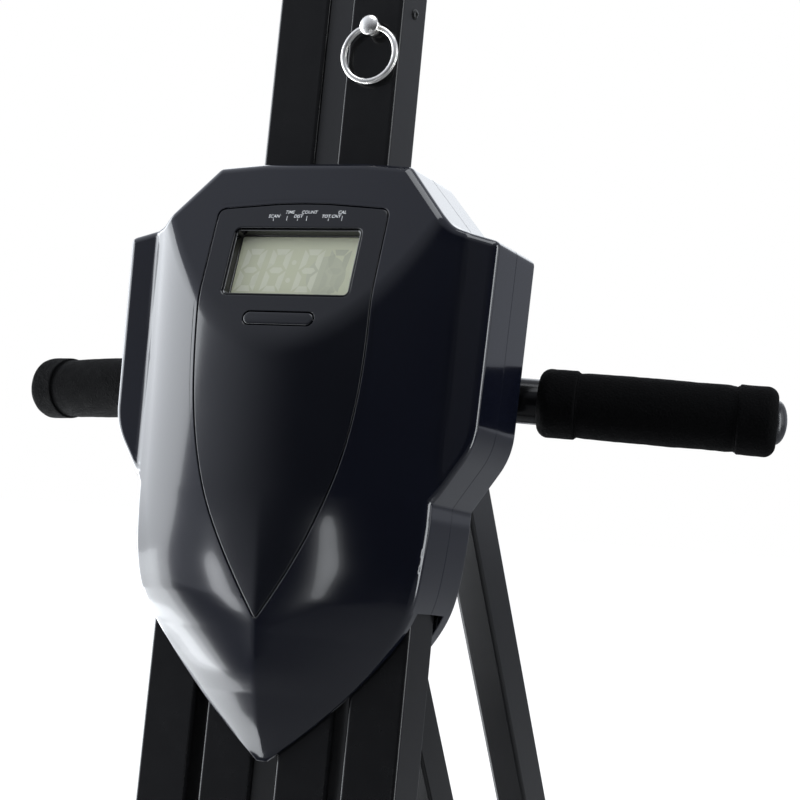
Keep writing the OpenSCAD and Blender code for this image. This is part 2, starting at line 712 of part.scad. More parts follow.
// ---------- belt drive ----------
module pulley() {
    flange_r = pole_u + pulley_rim;
    flange_t = 1.3;
    holes = 5;
    hole_r = 3.6;
    hole_at = 12;
    bore_r = axle_d / 2 + run_gap;
    color("#d8d8d2") mast() translate([0, pulley_v, pulley_w]) along_v() difference() {
        rotate_extrude() polygon([[bore_r, 0], [flange_r, 0], [flange_r, flange_t],
            [groove_r, flange_t], [groove_r, pulley_b - flange_t],
            [flange_r, pulley_b - flange_t], [flange_r, pulley_b], [bore_r, pulley_b]]);
        for (i = [0:holes - 1]) rotate(i * 360 / holes)
            translate([hole_at, 0, -1]) cylinder(r = hole_r, h = pulley_b + 2);
    }
}
module belt_wrap() {
    color("#1a1a1a") mast() translate([0, belt_v, pulley_w]) along_v()
        rotate([0, 0, 180]) rotate_extrude(angle = 180)
            translate([pole_u - belt_t / 2, 0]) square([belt_t, belt_b]);
}
module strand(s) {
    lo = clamp_w - (s < 0 ? 0 : stroke);
    color("#1a1a1a") side(s) mast() translate([pole_u - belt_t / 2, belt_v, lo])
        cube([belt_t, belt_b, pulley_w - lo]);
}
module left_strand() { strand(-1); }
module right_strand() { strand(1); }

// ---------- rear A-frame ----------
module rear_leg(s) {
    plug_t = 2;
    bush_r = bolt_d / 2 + 2;
    color("#17181a") difference() {
        side(s) leg_axes() translate([leg_u, 0, 0]) difference() {
            union() {
                translate([0, 0, -leg_drop - tube]) box_tube(leg_b, leg_d, leg_drop + tube + leg_over);
                translate([0, 0, leg_over - plug_t]) linear_extrude(plug_t)
                    rounded_rect(leg_b, leg_d, tube_r);
            }
            translate([-leg_b, 0, 0]) along_u() cylinder(r = bush_r, h = 2 * leg_b);
        }
        below(base_z);
    }
}
module left_rear_leg() { rear_leg(-1); }
module right_rear_leg() { rear_leg(1); }
module leg_bushings() {
    bush_r = bolt_d / 2 + 2;
    rim = 0.5;
    color("#e8e6df") for (s = [-1, 1]) side(s) leg_axes()
        translate([leg_u - leg_b / 2 - rim, 0, 0]) along_u() difference() {
            union() {
                cylinder(r = bush_r, h = leg_b + 2 * rim);
                for (z = [0, leg_b + rim]) translate([0, 0, z]) cylinder(r = bush_r + 2, h = rim);
            }
            translate([0, 0, -1]) cylinder(r = bolt_d / 2 + run_gap, h = leg_b + 3);
        }
}
module leg_brace() {
    inner = leg_u - leg_b / 2;
    color("#17181a") leg_axes() translate([-inner, 0, -brace_l])
        along_u() box_tube(leg_b, leg_b, 2 * inner);
}
module rear_floor_tube() { floor_tube(leg_foot_y); }
module rear_feet() { feet(leg_foot_y); }

// ---------- moving poles ----------
screw_rise = 12;
screw_r = 2;
module pole(s) {
    end_t = 2;
    color("#17181a") on_pole(s) translate([pole_u, mid_v, 0]) difference() {
        translate([0, 0, pole_bottom]) union() {
            box_tube(tube, tube, pole_top - pole_bottom);
            linear_extrude(end_t) rounded_rect(tube, tube, tube_r);
        }
        translate([0, -tube / 2 - 1, pin_w])
            along_v() cylinder(r = pin_d / 2 + run_gap, h = wall + 2);
        translate([tube / 2 - wall - 1, 0, pin_w + screw_rise])
            along_u() cylinder(r = screw_r + 0.1, h = wall + 2);
    }
}
module left_pole() { pole(-1); }
module right_pole() { pole(1); }

pedal_z = 24;
carrier_at = 34;
bolt_off = 5.6;
bolt_y = 70;
pedal_floor = 6;
// Level axes at the pedal arm's centre, Z straight up
module arm_level(s) {
    on_pole(s) translate([0, arm_v, arm_w]) rotate([lean, 0, 0]) children();
}
module pedal_arm(s) {
    flange = [19, 4];
    web_t = 4;
    front = -pedal_fwd - bolt_y - 15;
    back = -pedal_fwd + bolt_y + 15;
    inner = pole_u - tube / 2;
    color("#17181a") union() {
        on_pole(s) translate([inner, 0, arm_w]) {
            translate([0, arm_v, 0]) along_u()
                box_tube(tube, tube, pedal_u + carrier_at + flange[0] / 2 - inner);
            translate([0, -arm_gap, -tube / 2 - 10]) cube([tube, arm_gap, tube + 20]);
        }
        arm_level(s) for (k = [-1, 1]) translate([pedal_u + k * carrier_at, 0, 0]) difference() {
            union() {
                translate([-web_t / 2, 0, 0]) rotate([90, 0, 90]) linear_extrude(web_t)
                    polygon([[front, pedal_z - flange[1]], [front, pedal_z], [back, pedal_z],
                        [back, pedal_z - flange[1]], [18, -10], [-18, -10]]);
                translate([-flange[0] / 2, front, pedal_z - flange[1]])
                    cube([flange[0], back - front, flange[1]]);
            }
            for (y = [-bolt_y, bolt_y]) translate([k * bolt_off, y - pedal_fwd, pedal_z - 10])
                cylinder(r = 3.1, h = 20);
        }
    }
}
module left_pedal_arm() { pedal_arm(-1); }
module right_pedal_arm() { pedal_arm(1); }
module pedal(s) {
    rim = 4;
    corner = 22;
    ribs = 9;
    rib = [78, 5, 2];
    color("#1b1b1d") arm_level(s) translate([pedal_u, -pedal_fwd, pedal_z]) difference() {
        union() {
            difference() {
                linear_extrude(pedal_h) rounded_rect(pedal_b, pedal_l, corner);
                translate([0, 0, pedal_floor]) linear_extrude(pedal_h)
                    rounded_rect(pedal_b - 2 * rim, pedal_l - 2 * rim, corner - rim);
            }
            for (i = [0:ribs - 1])
                translate([-rib[0] / 2, (i - (ribs - 1) / 2) * (pedal_l - 70) / ribs - rib[1] / 2,
                    pedal_floor - 1]) cube([rib[0], rib[1], rib[2] + 1]);
        }
        for (x = [-1, 1], y = [-1, 1])
            translate([x * (carrier_at + bolt_off), y * bolt_y, -1]) cylinder(r = 3.2, h = 20);
        for (x = [-1, 1], y = [-1, 1])
            translate([x * (carrier_at + bolt_off), y * bolt_y, pedal_floor])
                cylinder(r = 7, h = 20);
    }
}
module left_pedal() { pedal(-1); }
module right_pedal() { pedal(1); }
module pedal_bolts(s) {
    color("#9a9c9e") arm_level(s) for (x = [-1, 1], y = [-1, 1])
        translate([pedal_u + x * (carrier_at + bolt_off), y * bolt_y - pedal_fwd, pedal_z]) {
            translate([0, 0, -10]) cylinder(r = 3, h = 10 + pedal_floor);
            translate([0, 0, pedal_floor]) cylinder(r = 5.5, h = 3);
        }
}
module left_pedal_bolts() { pedal_bolts(-1); }
module right_pedal_bolts() { pedal_bolts(1); }
module belt_clamp(s) {
    color("#55585c") on_pole(s) translate([pole_u, tube, clamp_w - stroke]) {
        translate([-clamp_b / 2, 0, -clamp_h])
            cube([clamp_b, belt_v + belt_b + 2 - tube, clamp_h]);
        for (z = [-clamp_h / 4, -clamp_h * 3 / 4])
            translate([0, belt_v + belt_b + 1.9 - tube, z]) along_v() cylinder(r = 3, h = 1.8);
    }
}
module left_belt_clamp() { belt_clamp(-1); }
module right_belt_clamp() { belt_clamp(1); }

// ---------- telescoping handles ----------
sleeve_l = 60;
sleeve_gap = 0.25;
module sleeve(s) {
    outer = tube - 2 * wall - 0.2;
    way = htube + 2 * sleeve_gap;
    flange_t = 3;
    color("#151515") on_pole(s) translate([pole_u, mid_v, pole_top]) difference() {
        union() {
            translate([-outer / 2, -outer / 2, -sleeve_l]) cube([outer, outer, sleeve_l + 1]);
            linear_extrude(flange_t) rounded_rect(tube, tube, tube_r);
        }
        translate([-way / 2, -way / 2, -sleeve_l - 1]) cube([way, way, sleeve_l + 10]);
        translate([0, -tube, pin_w - pole_top]) along_v() cylinder(r = pin_d / 2 + 0.3, h = tube);
        translate([0, 0, pin_w + screw_rise - pole_top])
            along_u() cylinder(r = screw_r + 0.1, h = tube);
    }
}
module left_sleeve() { sleeve(-1); }
module right_sleeve() { sleeve(1); }
module sleeve_screw(s) {
    head_r = 3.6;
    head_t = 1.4;
    color("#0c0c0c") on_pole(s) translate([pole_u, mid_v, pin_w + screw_rise]) {
        translate([htube / 2 + sleeve_gap + 0.15, 0, 0])
            along_u() cylinder(r = screw_r, h = (tube - htube) / 2 - sleeve_gap - 0.15);
        translate([tube / 2, 0, 0]) along_u() cylinder(r = head_r, h = head_t);
    }
}
module left_sleeve_screw() { sleeve_screw(-1); }
module right_sleeve_screw() { sleeve_screw(1); }
module handle_tube(s) {
    cap_t = 2;
    color("#17181a") on_pole(s) translate([pole_u, mid_v, 0]) difference() {
        union() {
            translate([0, 0, pole_top - handle_in])
                box_tube(htube, htube, handle_top - pole_top + handle_in);
            translate([0, 0, handle_top - cap_t])
                linear_extrude(cap_t) rounded_rect(htube, htube, tube_r);
        }
        for (i = [0:hole_steps]) translate([0, -htube / 2 - 1, pin_w - i * hole_pitch])
            along_v() cylinder(r = pin_d / 2 + 0.3, h = wall + 2);
    }
}
module left_handle_tube() { handle_tube(-1); }
module right_handle_tube() { handle_tube(1); }
bend_lead = 10;
module handle_bar(s) {
    run = bend_lead + grip_l - 4;
    color("#141414") on_pole(s) translate([pole_u + bend_r, mid_v, handle_top]) {
        rotate([90, 0, 0]) rotate([0, 0, 90]) rotate_extrude(angle = 90)
            translate([bend_r, 0]) difference() {
                circle(bar_r);
                circle(bar_r - wall);
            }
        translate([0, 0, bend_r]) along_u() {
            tube_ring(bar_r, bar_r - wall, run);
            translate([0, 0, run - 2]) cylinder(r = bar_r, h = 2);
        }
    }
}
module left_handle_bar() { handle_bar(-1); }
module right_handle_bar() { handle_bar(1); }
module handle_grip(s) {
    color("#1c1c1c") on_pole(s)
        translate([pole_u + bend_r + bend_lead, mid_v, handle_top + bend_r]) along_u() {
            grip_shape();
            translate([0, 0, grip_l - 4]) cylinder(r = bar_r + 1, h = 4);
        }
}
module left_handle_grip() { handle_grip(-1); }
module right_handle_grip() { handle_grip(1); }

// ---------- pull pins ----------
pin_in = pin_pull + 1;
ring_v = 3.6;
module pull_pin(s) {
    neck_r = 4;
    neck_l = 6.5;
    head_l = 2.5;
    color("#d9dadb") on_pole(s) translate([pole_u, 0, pin_w]) rotate([90, 0, 0]) difference() {
        union() {
            translate([0, 0, -pin_in]) cylinder(r = pin_d / 2, h = pin_in + neck_l);
            translate([0, 0, 0.3]) cylinder(r = neck_r, h = neck_l);
            translate([0, 0, neck_l]) cylinder(r = pin_head_d / 2, h = head_l);
        }
        translate([-neck_r - 1, 0, ring_v]) along_u() cylinder(r = 2.3, h = 2 * neck_r + 2);
    }
}
module left_pin() { pull_pin(-1); }
module right_pin() { pull_pin(1); }
module pin_ring(s) {
    ring_r = (ring_d - ring_t) / 2;
    color("#d9dadb") on_pole(s) translate([pole_u, -ring_v, pin_w - ring_r]) rotate([90, 0, 0])
        rotate_extrude() translate([ring_r, 0]) circle(ring_t / 2);
}
module left_ring() { pin_ring(-1); }
module right_ring() { pin_ring(1); }

left_upright();
right_upright();
front_floor_tube();
front_feet();
lower_crossmember();
bump_stops();
lower_guide();
lower_guide_straps();
upper_guide();
head_bracket();
pulley_axle();
pivot_bolt();
front_cover();
console_panel();
lcd_bezel();
lcd_glass();
rear_cover();
pulley_guard();
cover_screws();
left_handlebar();
right_handlebar();
left_grip();
right_grip();
bar_caps();
mode_button();
pulley();
fold_knob();
belt_wrap();
left_strand();
right_strand();
left_rear_leg();
right_rear_leg();
rear_floor_tube();
rear_feet();
leg_brace();
leg_bushings();
left_pole();
left_pedal_arm();
left_pedal();
left_pedal_bolts();
left_belt_clamp();
left_sleeve();
left_sleeve_screw();
left_handle_tube();
left_handle_bar();
left_handle_grip();
left_pin();
left_ring();
right_pole();
right_pedal_arm();
right_pedal();
right_pedal_bolts();
right_belt_clamp();
right_sleeve();
right_sleeve_screw();
right_handle_tube();
right_handle_bar();
right_handle_grip();
right_pin();
right_ring();
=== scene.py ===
# %% [markdown]
# # Vertical climber
# A folding climbing machine: a leaning mast of square steel tube, two poles that rise and fall in
# turn, a glossy two-shell housing with a small computer, foam-grip handlebars and a rear A-frame.
# The imported model is the frame. Every piece made here is in metres in that frame and rides a body,
# except the belt's strands, which ride none.

# %% Load the frame
import json
import math

import bmesh
import bpy
import numpy as np
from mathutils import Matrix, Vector
from mathutils.geometry import delaunay_2d_cdt


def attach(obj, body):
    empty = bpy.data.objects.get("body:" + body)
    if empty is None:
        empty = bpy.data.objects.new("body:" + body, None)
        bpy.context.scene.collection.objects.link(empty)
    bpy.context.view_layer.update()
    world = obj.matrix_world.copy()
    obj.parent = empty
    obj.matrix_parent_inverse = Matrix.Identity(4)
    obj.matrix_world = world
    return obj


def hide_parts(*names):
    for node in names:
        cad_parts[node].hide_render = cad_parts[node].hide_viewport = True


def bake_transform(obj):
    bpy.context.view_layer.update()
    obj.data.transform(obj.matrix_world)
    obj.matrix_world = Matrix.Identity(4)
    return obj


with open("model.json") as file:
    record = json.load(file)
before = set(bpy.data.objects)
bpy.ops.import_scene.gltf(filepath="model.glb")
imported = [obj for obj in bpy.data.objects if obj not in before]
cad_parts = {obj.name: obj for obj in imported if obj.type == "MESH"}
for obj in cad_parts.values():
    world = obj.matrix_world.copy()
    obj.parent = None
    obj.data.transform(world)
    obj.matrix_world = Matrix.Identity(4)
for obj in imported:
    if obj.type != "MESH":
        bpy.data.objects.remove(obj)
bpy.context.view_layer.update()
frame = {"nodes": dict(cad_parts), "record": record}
MM = 0.001


def placed(name, data):
    """An object that holds this data, put in the scene."""
    made = bpy.data.objects.new(name, data)
    bpy.context.scene.collection.objects.link(made)
    return made


# %% [markdown]
# ## Camera
# A long lens stands a metre from the housing, a little to the user's right and above it.

# %% Camera
EYE = Vector((0.46696, -0.98598, 1.09828))
LOOK = Vector((-0.42057, 0.90192, -0.09828))
FOCAL_LENGTH, SENSOR_WIDTH = 87.48, 36.0
camera = placed("camera", bpy.data.cameras.new("camera"))
camera.data.lens = FOCAL_LENGTH
camera.data.sensor_width = SENSOR_WIDTH
camera.data.clip_start, camera.data.clip_end = 0.05, 60.0
camera.location = EYE
camera.rotation_mode = "QUATERNION"
camera.rotation_quaternion = LOOK.to_track_quat("-Z", "Y")
bpy.context.scene.camera = camera

# %% [markdown]
# ## Mast axes
# Most pieces belong to the leaning mast, so they are drawn in its own axes in millimetres:
# u across to the right, v back from the tubes' front faces and w up the mast.

# %% Mast axes
LEAN = math.radians(13.0)
DATUM = Vector((0.0, -0.105685, 1.0))
ACROSS = Vector((1.0, 0.0, 0.0))
BACK = Vector((0.0, math.cos(LEAN), -math.sin(LEAN)))
UP = Vector((0.0, math.sin(LEAN), math.cos(LEAN)))
STROKE = 240.0
SIDES = (("left", -1), ("right", 1))


def mast(u, v, w):
    return DATUM + (ACROSS * u + BACK * v + UP * w) * MM


def mast_dir(u, v, w):
    return (ACROSS * u + BACK * v + UP * w).normalized()


def mast_array(points):
    """Rows of (u, v, w) in millimetres to rows of metres in the frame."""
    axes = np.array([ACROSS, BACK, UP])
    return np.asarray(points, float) @ axes * MM + np.array(DATUM)


def raised(side):
    return STROKE if side < 0 else 0.0


print("datum", tuple(round(c, 4) for c in DATUM))

# %% [markdown]
# ## Shared finishes
# Grain, handling marks and edge wear appear on many materials, so each is one node group with
# named inputs. The groups give out only masks, heights and colours. The shader stays outside.

# %% Node group helpers
def new_group(name, inputs, outputs):
    tree = bpy.data.node_groups.new(name, "ShaderNodeTree")
    for label, value in inputs:
        socket = tree.interface.new_socket(label, in_out="INPUT", socket_type="NodeSocketFloat")
        socket.default_value = value
    for label in outputs:
        tree.interface.new_socket(label, in_out="OUTPUT", socket_type="NodeSocketFloat")
    return tree, tree.nodes.new("NodeGroupInput"), tree.nodes.new("NodeGroupOutput")


def feed(tree, socket, value):
    """Links a socket to another node's output, or sets it to a plain value."""
    if hasattr(value, "links"):
        tree.links.new(value, socket)
    else:
        socket.default_value = value


def node(tree, kind, inputs=(), **settings):
    """A shader node with its settings made first and then its inputs fed."""
    made = tree.nodes.new("ShaderNode" + kind)
    for key, value in settings.items():
        setattr(made, key, value)
    for key, value in dict(inputs).items():
        feed(tree, made.inputs[key], value)
    return made


def object_place(tree):
    return node(tree, "TexCoord").outputs["Object"]


def noise(tree, scale, place, detail=3.0, rough=0.55):
    return node(tree, "TexNoise", {"Scale": scale, "Vector": place, "Detail": detail,
                                   "Roughness": rough}).outputs["Fac"]


def math_node(tree, operation, a, b, clamp=False):
    return node(tree, "Math", {0: a, 1: b}, operation=operation, use_clamp=clamp).outputs[0]


def mixed(tree, data_type, factor, a, b):
    return node(tree, "Mix", {"Factor": factor, "A": a, "B": b},
                data_type=data_type).outputs["Result"]


# %% Grain: fine height for a moulded, coated or foamed surface
def make_grain():
    tree, given, out = new_group("surface_grain", [("Scale", 900.0), ("Pores", 0.0)], ["Height"])
    place, scale = object_place(tree), given.outputs["Scale"]
    fine = noise(tree, scale, place, 2.0)
    cells = node(tree, "TexVoronoi", {"Scale": scale, "Vector": place}, feature="SMOOTH_F1")
    height = mixed(tree, "FLOAT", given.outputs["Pores"], fine, cells.outputs["Distance"])
    feed(tree, out.inputs["Height"], height)
    return tree


# %% Handling: broad soft patches where a surface is a little duller or lighter
def make_handling():
    tree, given, out = new_group(
        "handling_marks", [("Scale", 14.0), ("Low", 0.3), ("High", 0.4)], ["Value", "Mask"])
    broad = noise(tree, given.outputs["Scale"], object_place(tree), 4.0, 0.6)
    reach = node(tree, "MapRange", {"From Min": 0.32, "From Max": 0.68, "Value": broad,
                                    "To Min": given.outputs["Low"],
                                    "To Max": given.outputs["High"]})
    feed(tree, out.inputs["Value"], reach.outputs["Result"])
    feed(tree, out.inputs["Mask"], broad)
    return tree


# %% Edge wear: convex edges, broken up by noise
def make_edge_wear():
    tree, given, out = new_group("edge_wear", [("Amount", 1.0), ("Scale", 120.0)], ["Mask"])
    convex = node(tree, "NewGeometry").outputs["Pointiness"]
    edge = node(tree, "MapRange", {"From Min": 0.53, "From Max": 0.62, "Value": convex})
    broken = noise(tree, given.outputs["Scale"], object_place(tree))
    patch = math_node(tree, "MULTIPLY", edge.outputs["Result"], broken)
    amount = math_node(tree, "MULTIPLY", patch, given.outputs["Amount"], clamp=True)
    feed(tree, out.inputs["Mask"], amount)
    return tree


GRAIN, HANDLING, WEAR = make_grain(), make_handling(), make_edge_wear()


def place_group(tree, group, **values):
    return node(tree, "Group", values, node_tree=group)


# %% [markdown]
# ## Materials
# One builder makes every opaque finish from the same three groups. What differs between powder
# coat, glossy moulding, foam, rubber, nylon and plated steel is passed in as plain numbers.

# %% Finish builder
def new_material(name, settings):
    """A node material with its shader's plain inputs set."""
    made = bpy.data.materials.new(name)
    made.use_nodes = True
    shader = made.node_tree.nodes["Principled BSDF"]
    for key, value in settings.items():
        shader.inputs[key].default_value = value
    return made, made.node_tree, shader


def add_grain(tree, shader, scale, distance, pores=0.0):
    """Fine grain as a bump, its distance in metres."""
    skin = place_group(tree, GRAIN, Scale=scale, Pores=pores)
    bump = node(tree, "Bump", {"Distance": distance, "Strength": 1.0,
                               "Height": skin.outputs["Height"]})
    feed(tree, shader.inputs["Normal"], bump.outputs["Normal"])


def finish(name, colour, tint, rough, grain, wear=None, metallic=0.0, specular=0.5,
           coat=0.0, coat_rough=0.05, pores=0.0, patch=14.0):
    """colour and tint are the base colour's two ends, rough its roughness range,
    grain (scale, bump distance in metres), wear (amount, colour, roughness)."""
    made, tree, shader = new_material(name, {
        "Metallic": metallic, "Specular IOR Level": specular, "Coat Weight": coat,
        "Coat Roughness": coat_rough})
    marks = place_group(tree, HANDLING, Scale=patch, Low=rough[0], High=rough[1])
    base = mixed(tree, "RGBA", marks.outputs["Mask"], (*colour, 1.0), (*tint, 1.0))
    roughness = marks.outputs["Value"]
    if wear:
        amount, worn_colour, worn_rough = wear
        worn = place_group(tree, WEAR, Amount=amount).outputs["Mask"]
        base = mixed(tree, "RGBA", worn, base, (*worn_colour, 1.0))
        roughness = mixed(tree, "FLOAT", worn, roughness, worn_rough)
    feed(tree, shader.inputs["Base Color"], base)
    feed(tree, shader.inputs["Roughness"], roughness)
    add_grain(tree, shader, *grain, pores)
    return made


# %% The object's finishes
FINISH = {
    "frame": finish("powder_coat", (0.005, 0.005, 0.0053), (0.0065, 0.0065, 0.007), (0.17, 0.2),
                    (1500.0, 0.000005), wear=(0.12, (0.04, 0.04, 0.042), 0.4), specular=0.3),
    "zinc": finish("zinc_plate", (0.42, 0.42, 0.43), (0.6, 0.6, 0.59), (0.28, 0.42),
                   (1100.0, 0.000008), metallic=1.0, patch=60.0),
    "chrome": finish("nickel_plate", (0.95, 0.93, 0.89), (0.99, 0.97, 0.93), (0.26, 0.34),
                     (800.0, 0.000002), metallic=1.0, patch=90.0),
    "housing": finish("housing_gloss", (0.0035, 0.0042, 0.0085), (0.0045, 0.0055, 0.0115),
                      (0.12, 0.16), (1700.0, 0.0000012), wear=(0.12, (0.03, 0.032, 0.04), 0.3),
                      coat=0.25, coat_rough=0.04),
    "console": finish("console_gloss", (0.0038, 0.0044, 0.0072), (0.0048, 0.0055, 0.009),
                      (0.13, 0.18), (1700.0, 0.000002), coat=0.15, coat_rough=0.06),
    "bezel": finish("bezel_black", (0.004, 0.0042, 0.0045), (0.006, 0.0062, 0.0066), (0.1, 0.16),
                    (1500.0, 0.000002), wear=(0.15, (0.05, 0.05, 0.05), 0.3), coat=0.5),
    "nylon": finish("natural_nylon", (0.6, 0.585, 0.53), (0.68, 0.665, 0.61), (0.38, 0.5),
                    (1000.0, 0.00001), wear=(0.4, (0.35, 0.34, 0.31), 0.35)),
    "rubber": finish("black_rubber", (0.009, 0.009, 0.009), (0.016, 0.016, 0.0155), (0.62, 0.8),
                     (1400.0, 0.00003), wear=(0.5, (0.05, 0.05, 0.048), 0.85), specular=0.35),
    "foam": finish("grip_foam", (0.0012, 0.0012, 0.0013), (0.0048, 0.0048, 0.005), (0.8, 0.95),
                   (1000.0, 0.0005), pores=0.75, specular=0.05, patch=260.0),
    "belt": finish("belt_rubber", (0.011, 0.011, 0.011), (0.018, 0.018, 0.018), (0.5, 0.66),
                   (1600.0, 0.00002), specular=0.35),
    "pedal": finish("pedal_plastic", (0.010, 0.010, 0.011), (0.015, 0.015, 0.016), (0.42, 0.58),
                    (1300.0, 0.00004), wear=(0.55, (0.06, 0.06, 0.06), 0.6)),
    "trim": finish("trim_plastic", (0.008, 0.008, 0.0095), (0.012, 0.012, 0.014), (0.2, 0.3),
                   (1500.0, 0.000006), wear=(0.25, (0.045, 0.045, 0.045), 0.4)),
    "screw": finish("black_oxide", (0.01, 0.01, 0.0105), (0.018, 0.018, 0.018), (0.3, 0.42),
                    (1300.0, 0.00001), wear=(0.6, (0.12, 0.12, 0.12), 0.4), metallic=0.5),
    "bar": finish("handlebar_black", (0.003, 0.003, 0.0034), (0.005, 0.005, 0.0055), (0.14, 0.2),
                  (1500.0, 0.000004), wear=(0.15, (0.05, 0.05, 0.05), 0.4), specular=0.25),
    "ink": finish("white_ink", (0.86, 0.86, 0.86), (0.93, 0.93, 0.93), (0.5, 0.6),
                  (1500.0, 0.000002)),
    # Painted shadow: a darker disc of the display's colour for the round shade over its lower right.
    "painted_shadow": finish("display_painted_shadow", (0.52, 0.535, 0.405), (0.55, 0.565, 0.43), (0.25, 0.35),
                   (1500.0, 0.000001)),
    # The last digit's segments are darker as painted shade, where the painted round shadow lies over
    # them.
    "painted_shade_segments": finish("painted_shade_segments", (0.49, 0.505, 0.385), (0.515, 0.53, 0.405), (0.25, 0.35),
                           (1500.0, 0.000001)),
    "segments": finish("idle_segments", (0.66, 0.67, 0.53), (0.69, 0.70, 0.555), (0.25, 0.35),
                       (1500.0, 0.000001)),
}
print(len(FINISH), "finishes")

# %% [markdown]
# ## Display finish
# An unlit liquid-crystal display is a pale green-grey reflector under a clear window. Its tone
# rises a little from left to right, under a faint cloud, because it is never lit quite evenly.

# %% Display finish
DISPLAY_HALF = 0.034
DISPLAY_TONES = ((0.56, 0.575, 0.40, 1.0), (0.65, 0.665, 0.49, 1.0))


def make_display():
    made, tree, shader = new_material("display_window",
                                      {"Coat Weight": 0.6, "Coat Roughness": 0.04})
    place = object_place(tree)
    axes = node(tree, "SeparateXYZ", {0: place})
    drift = node(tree, "MapRange", {"From Min": -DISPLAY_HALF, "From Max": DISPLAY_HALF,
                                    "Value": axes.outputs["X"]})
    cloud = noise(tree, 30.0, place, 2.0)
    tone = math_node(tree, "ADD", math_node(tree, "MULTIPLY", drift.outputs["Result"], 0.45),
                     math_node(tree, "MULTIPLY", cloud, 0.4))
    ramp = node(tree, "ValToRGB", {"Fac": tone})
    for element, colour in zip(ramp.color_ramp.elements, DISPLAY_TONES):
        element.color = colour
    feed(tree, shader.inputs["Base Color"], ramp.outputs["Color"])
    marks = place_group(tree, HANDLING, Scale=60.0, Low=0.3, High=0.42)
    feed(tree, shader.inputs["Roughness"], marks.outputs["Value"])
    add_grain(tree, shader, 1600.0, 0.000002)
    return made


FINISH["lcd"] = make_display()

# %% [markdown]
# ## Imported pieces
# The frame's solids take the finish that their slot names, and the handlebars a smoother, blacker
# one. Those that no section below replaces are shown just as they are.

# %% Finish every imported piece
SLOT = {part["node"]: part["material_slot"] for part in frame["record"]["subparts"]}
for name, packed in frame["nodes"].items():
    look = "bar" if name.endswith(("handlebar", "handle_bar")) else SLOT[name]
    for holder in packed.material_slots:
        holder.material = FINISH[look]
BODY = {n: body for body, names in frame["record"]["behaviour"]["bodies"].items() for n in names}

# %% [markdown]
# ## Mesh helpers
# Three ways of making a shape cover almost everything: turning a profile about an axis, joining
# a stack of loops, and stretching a dense triangle mesh over a curved face with rolled edges.

# %% Put a mesh in the scene
def add_piece(name, vertices, faces, slot_name, body, look=None, smooth=True, replaced=(),
              outward=None):
    """outward gives each face the side it faces, where that isn't simply out of a solid."""
    mesh = bpy.data.meshes.new(name)
    mesh.from_pydata([tuple(v) for v in vertices], [], [tuple(int(i) for i in f) for f in faces])
    work = bmesh.new()
    work.from_mesh(mesh)
    if outward is None:
        bmesh.ops.recalc_face_normals(work, faces=work.faces)
    else:
        work.normal_update()
        for face, way in zip(work.faces, outward):
            if face.normal.dot(Vector(way)) < 0:
                face.normal_flip()
    work.to_mesh(mesh)
    work.free()
    mesh.shade_smooth()
    if smooth is not True:
        mesh.set_sharp_from_angle(angle=math.radians(smooth))
    mesh.materials.append(FINISH[look or slot_name])
    piece = placed(name, mesh)
    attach(piece, body)
    if replaced:
        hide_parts(*replaced)
    print(name, len(mesh.polygons), "faces")
    return piece


# %% Turned pieces
def side_axes(axis):
    axis = Vector(axis).normalized()
    first = axis.orthogonal().normalized()
    return axis, first, axis.cross(first)


def turned(profile, origin, axis, steps=72):
    """Rows and faces of (radius, distance) in millimetres turned about an axis."""
    axis, first, second = side_axes(axis)
    rows, faces = [], []
    for radius, along in profile:
        for k in range(steps):
            turn = 2 * math.pi * k / steps
            spoke = first * math.cos(turn) + second * math.sin(turn)
            rows.append(origin + (axis * along + spoke * radius) * MM)
    for i in range(len(profile) - 1):
        for k in range(steps):
            n = (k + 1) % steps
            faces.append((i * steps + k, i * steps + n, (i + 1) * steps + n, (i + 1) * steps + k))
    for i, flip in ((0, 1), (len(profile) - 1, -1)):
        if profile[i][0] > 0:
            faces.append(tuple(range(i * steps, (i + 1) * steps))[::flip])
    return rows, faces


def arc(centre, radius, start, end, n):
    """Points along an arc in (radius, distance), its angles in degrees from the axis side."""
    turns = [math.radians(start + (end - start) * i / n) for i in range(n + 1)]
    return [(centre[0] + radius * math.cos(t), centre[1] + radius * math.sin(t)) for t in turns]


# %% Stacked loops
def stack(loops, closed=True):
    """Joins loops of equal length into one skin, closed at its ends with a face each."""
    size = len(loops[0])
    rows = [p for loop in loops for p in loop]
    faces = []
    for i in range(len(loops) - 1):
        for k in range(size):
            n = (k + 1) % size
            faces.append((i * size + k, i * size + n, (i + 1) * size + n, (i + 1) * size + k))
    if closed:
        faces.append(tuple(range(size))[::-1])
        faces.append(tuple(range((len(loops) - 1) * size, len(loops) * size)))
    return rows, faces


def rounded_loop(b, h, r, inset=0.0, steps=10):
    """A rounded rectangle's points, counter-clockwise, each corner with the same count."""
    r_in = max(r - inset, 0.15)
    x, y = b / 2 - inset - r_in, h / 2 - inset - r_in
    points = []
    for cx, cy, start in ((x, -y, -90), (x, y, 0), (-x, y, 90), (-x, -y, 180)):
        for i in range(steps + 1):
            t = math.radians(start + 90 * i / steps)
            points.append((cx + r_in * math.cos(t), cy + r_in * math.sin(t)))
    return points


def circle(x, z, r, n=40):
    return [(x + r * math.cos(a), z + r * math.sin(a))
            for a in np.linspace(0, 2 * math.pi, n, endpoint=False)]


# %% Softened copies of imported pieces
HARD_ANGLE, SHARP_ANGLE = math.radians(38.0), math.radians(50)


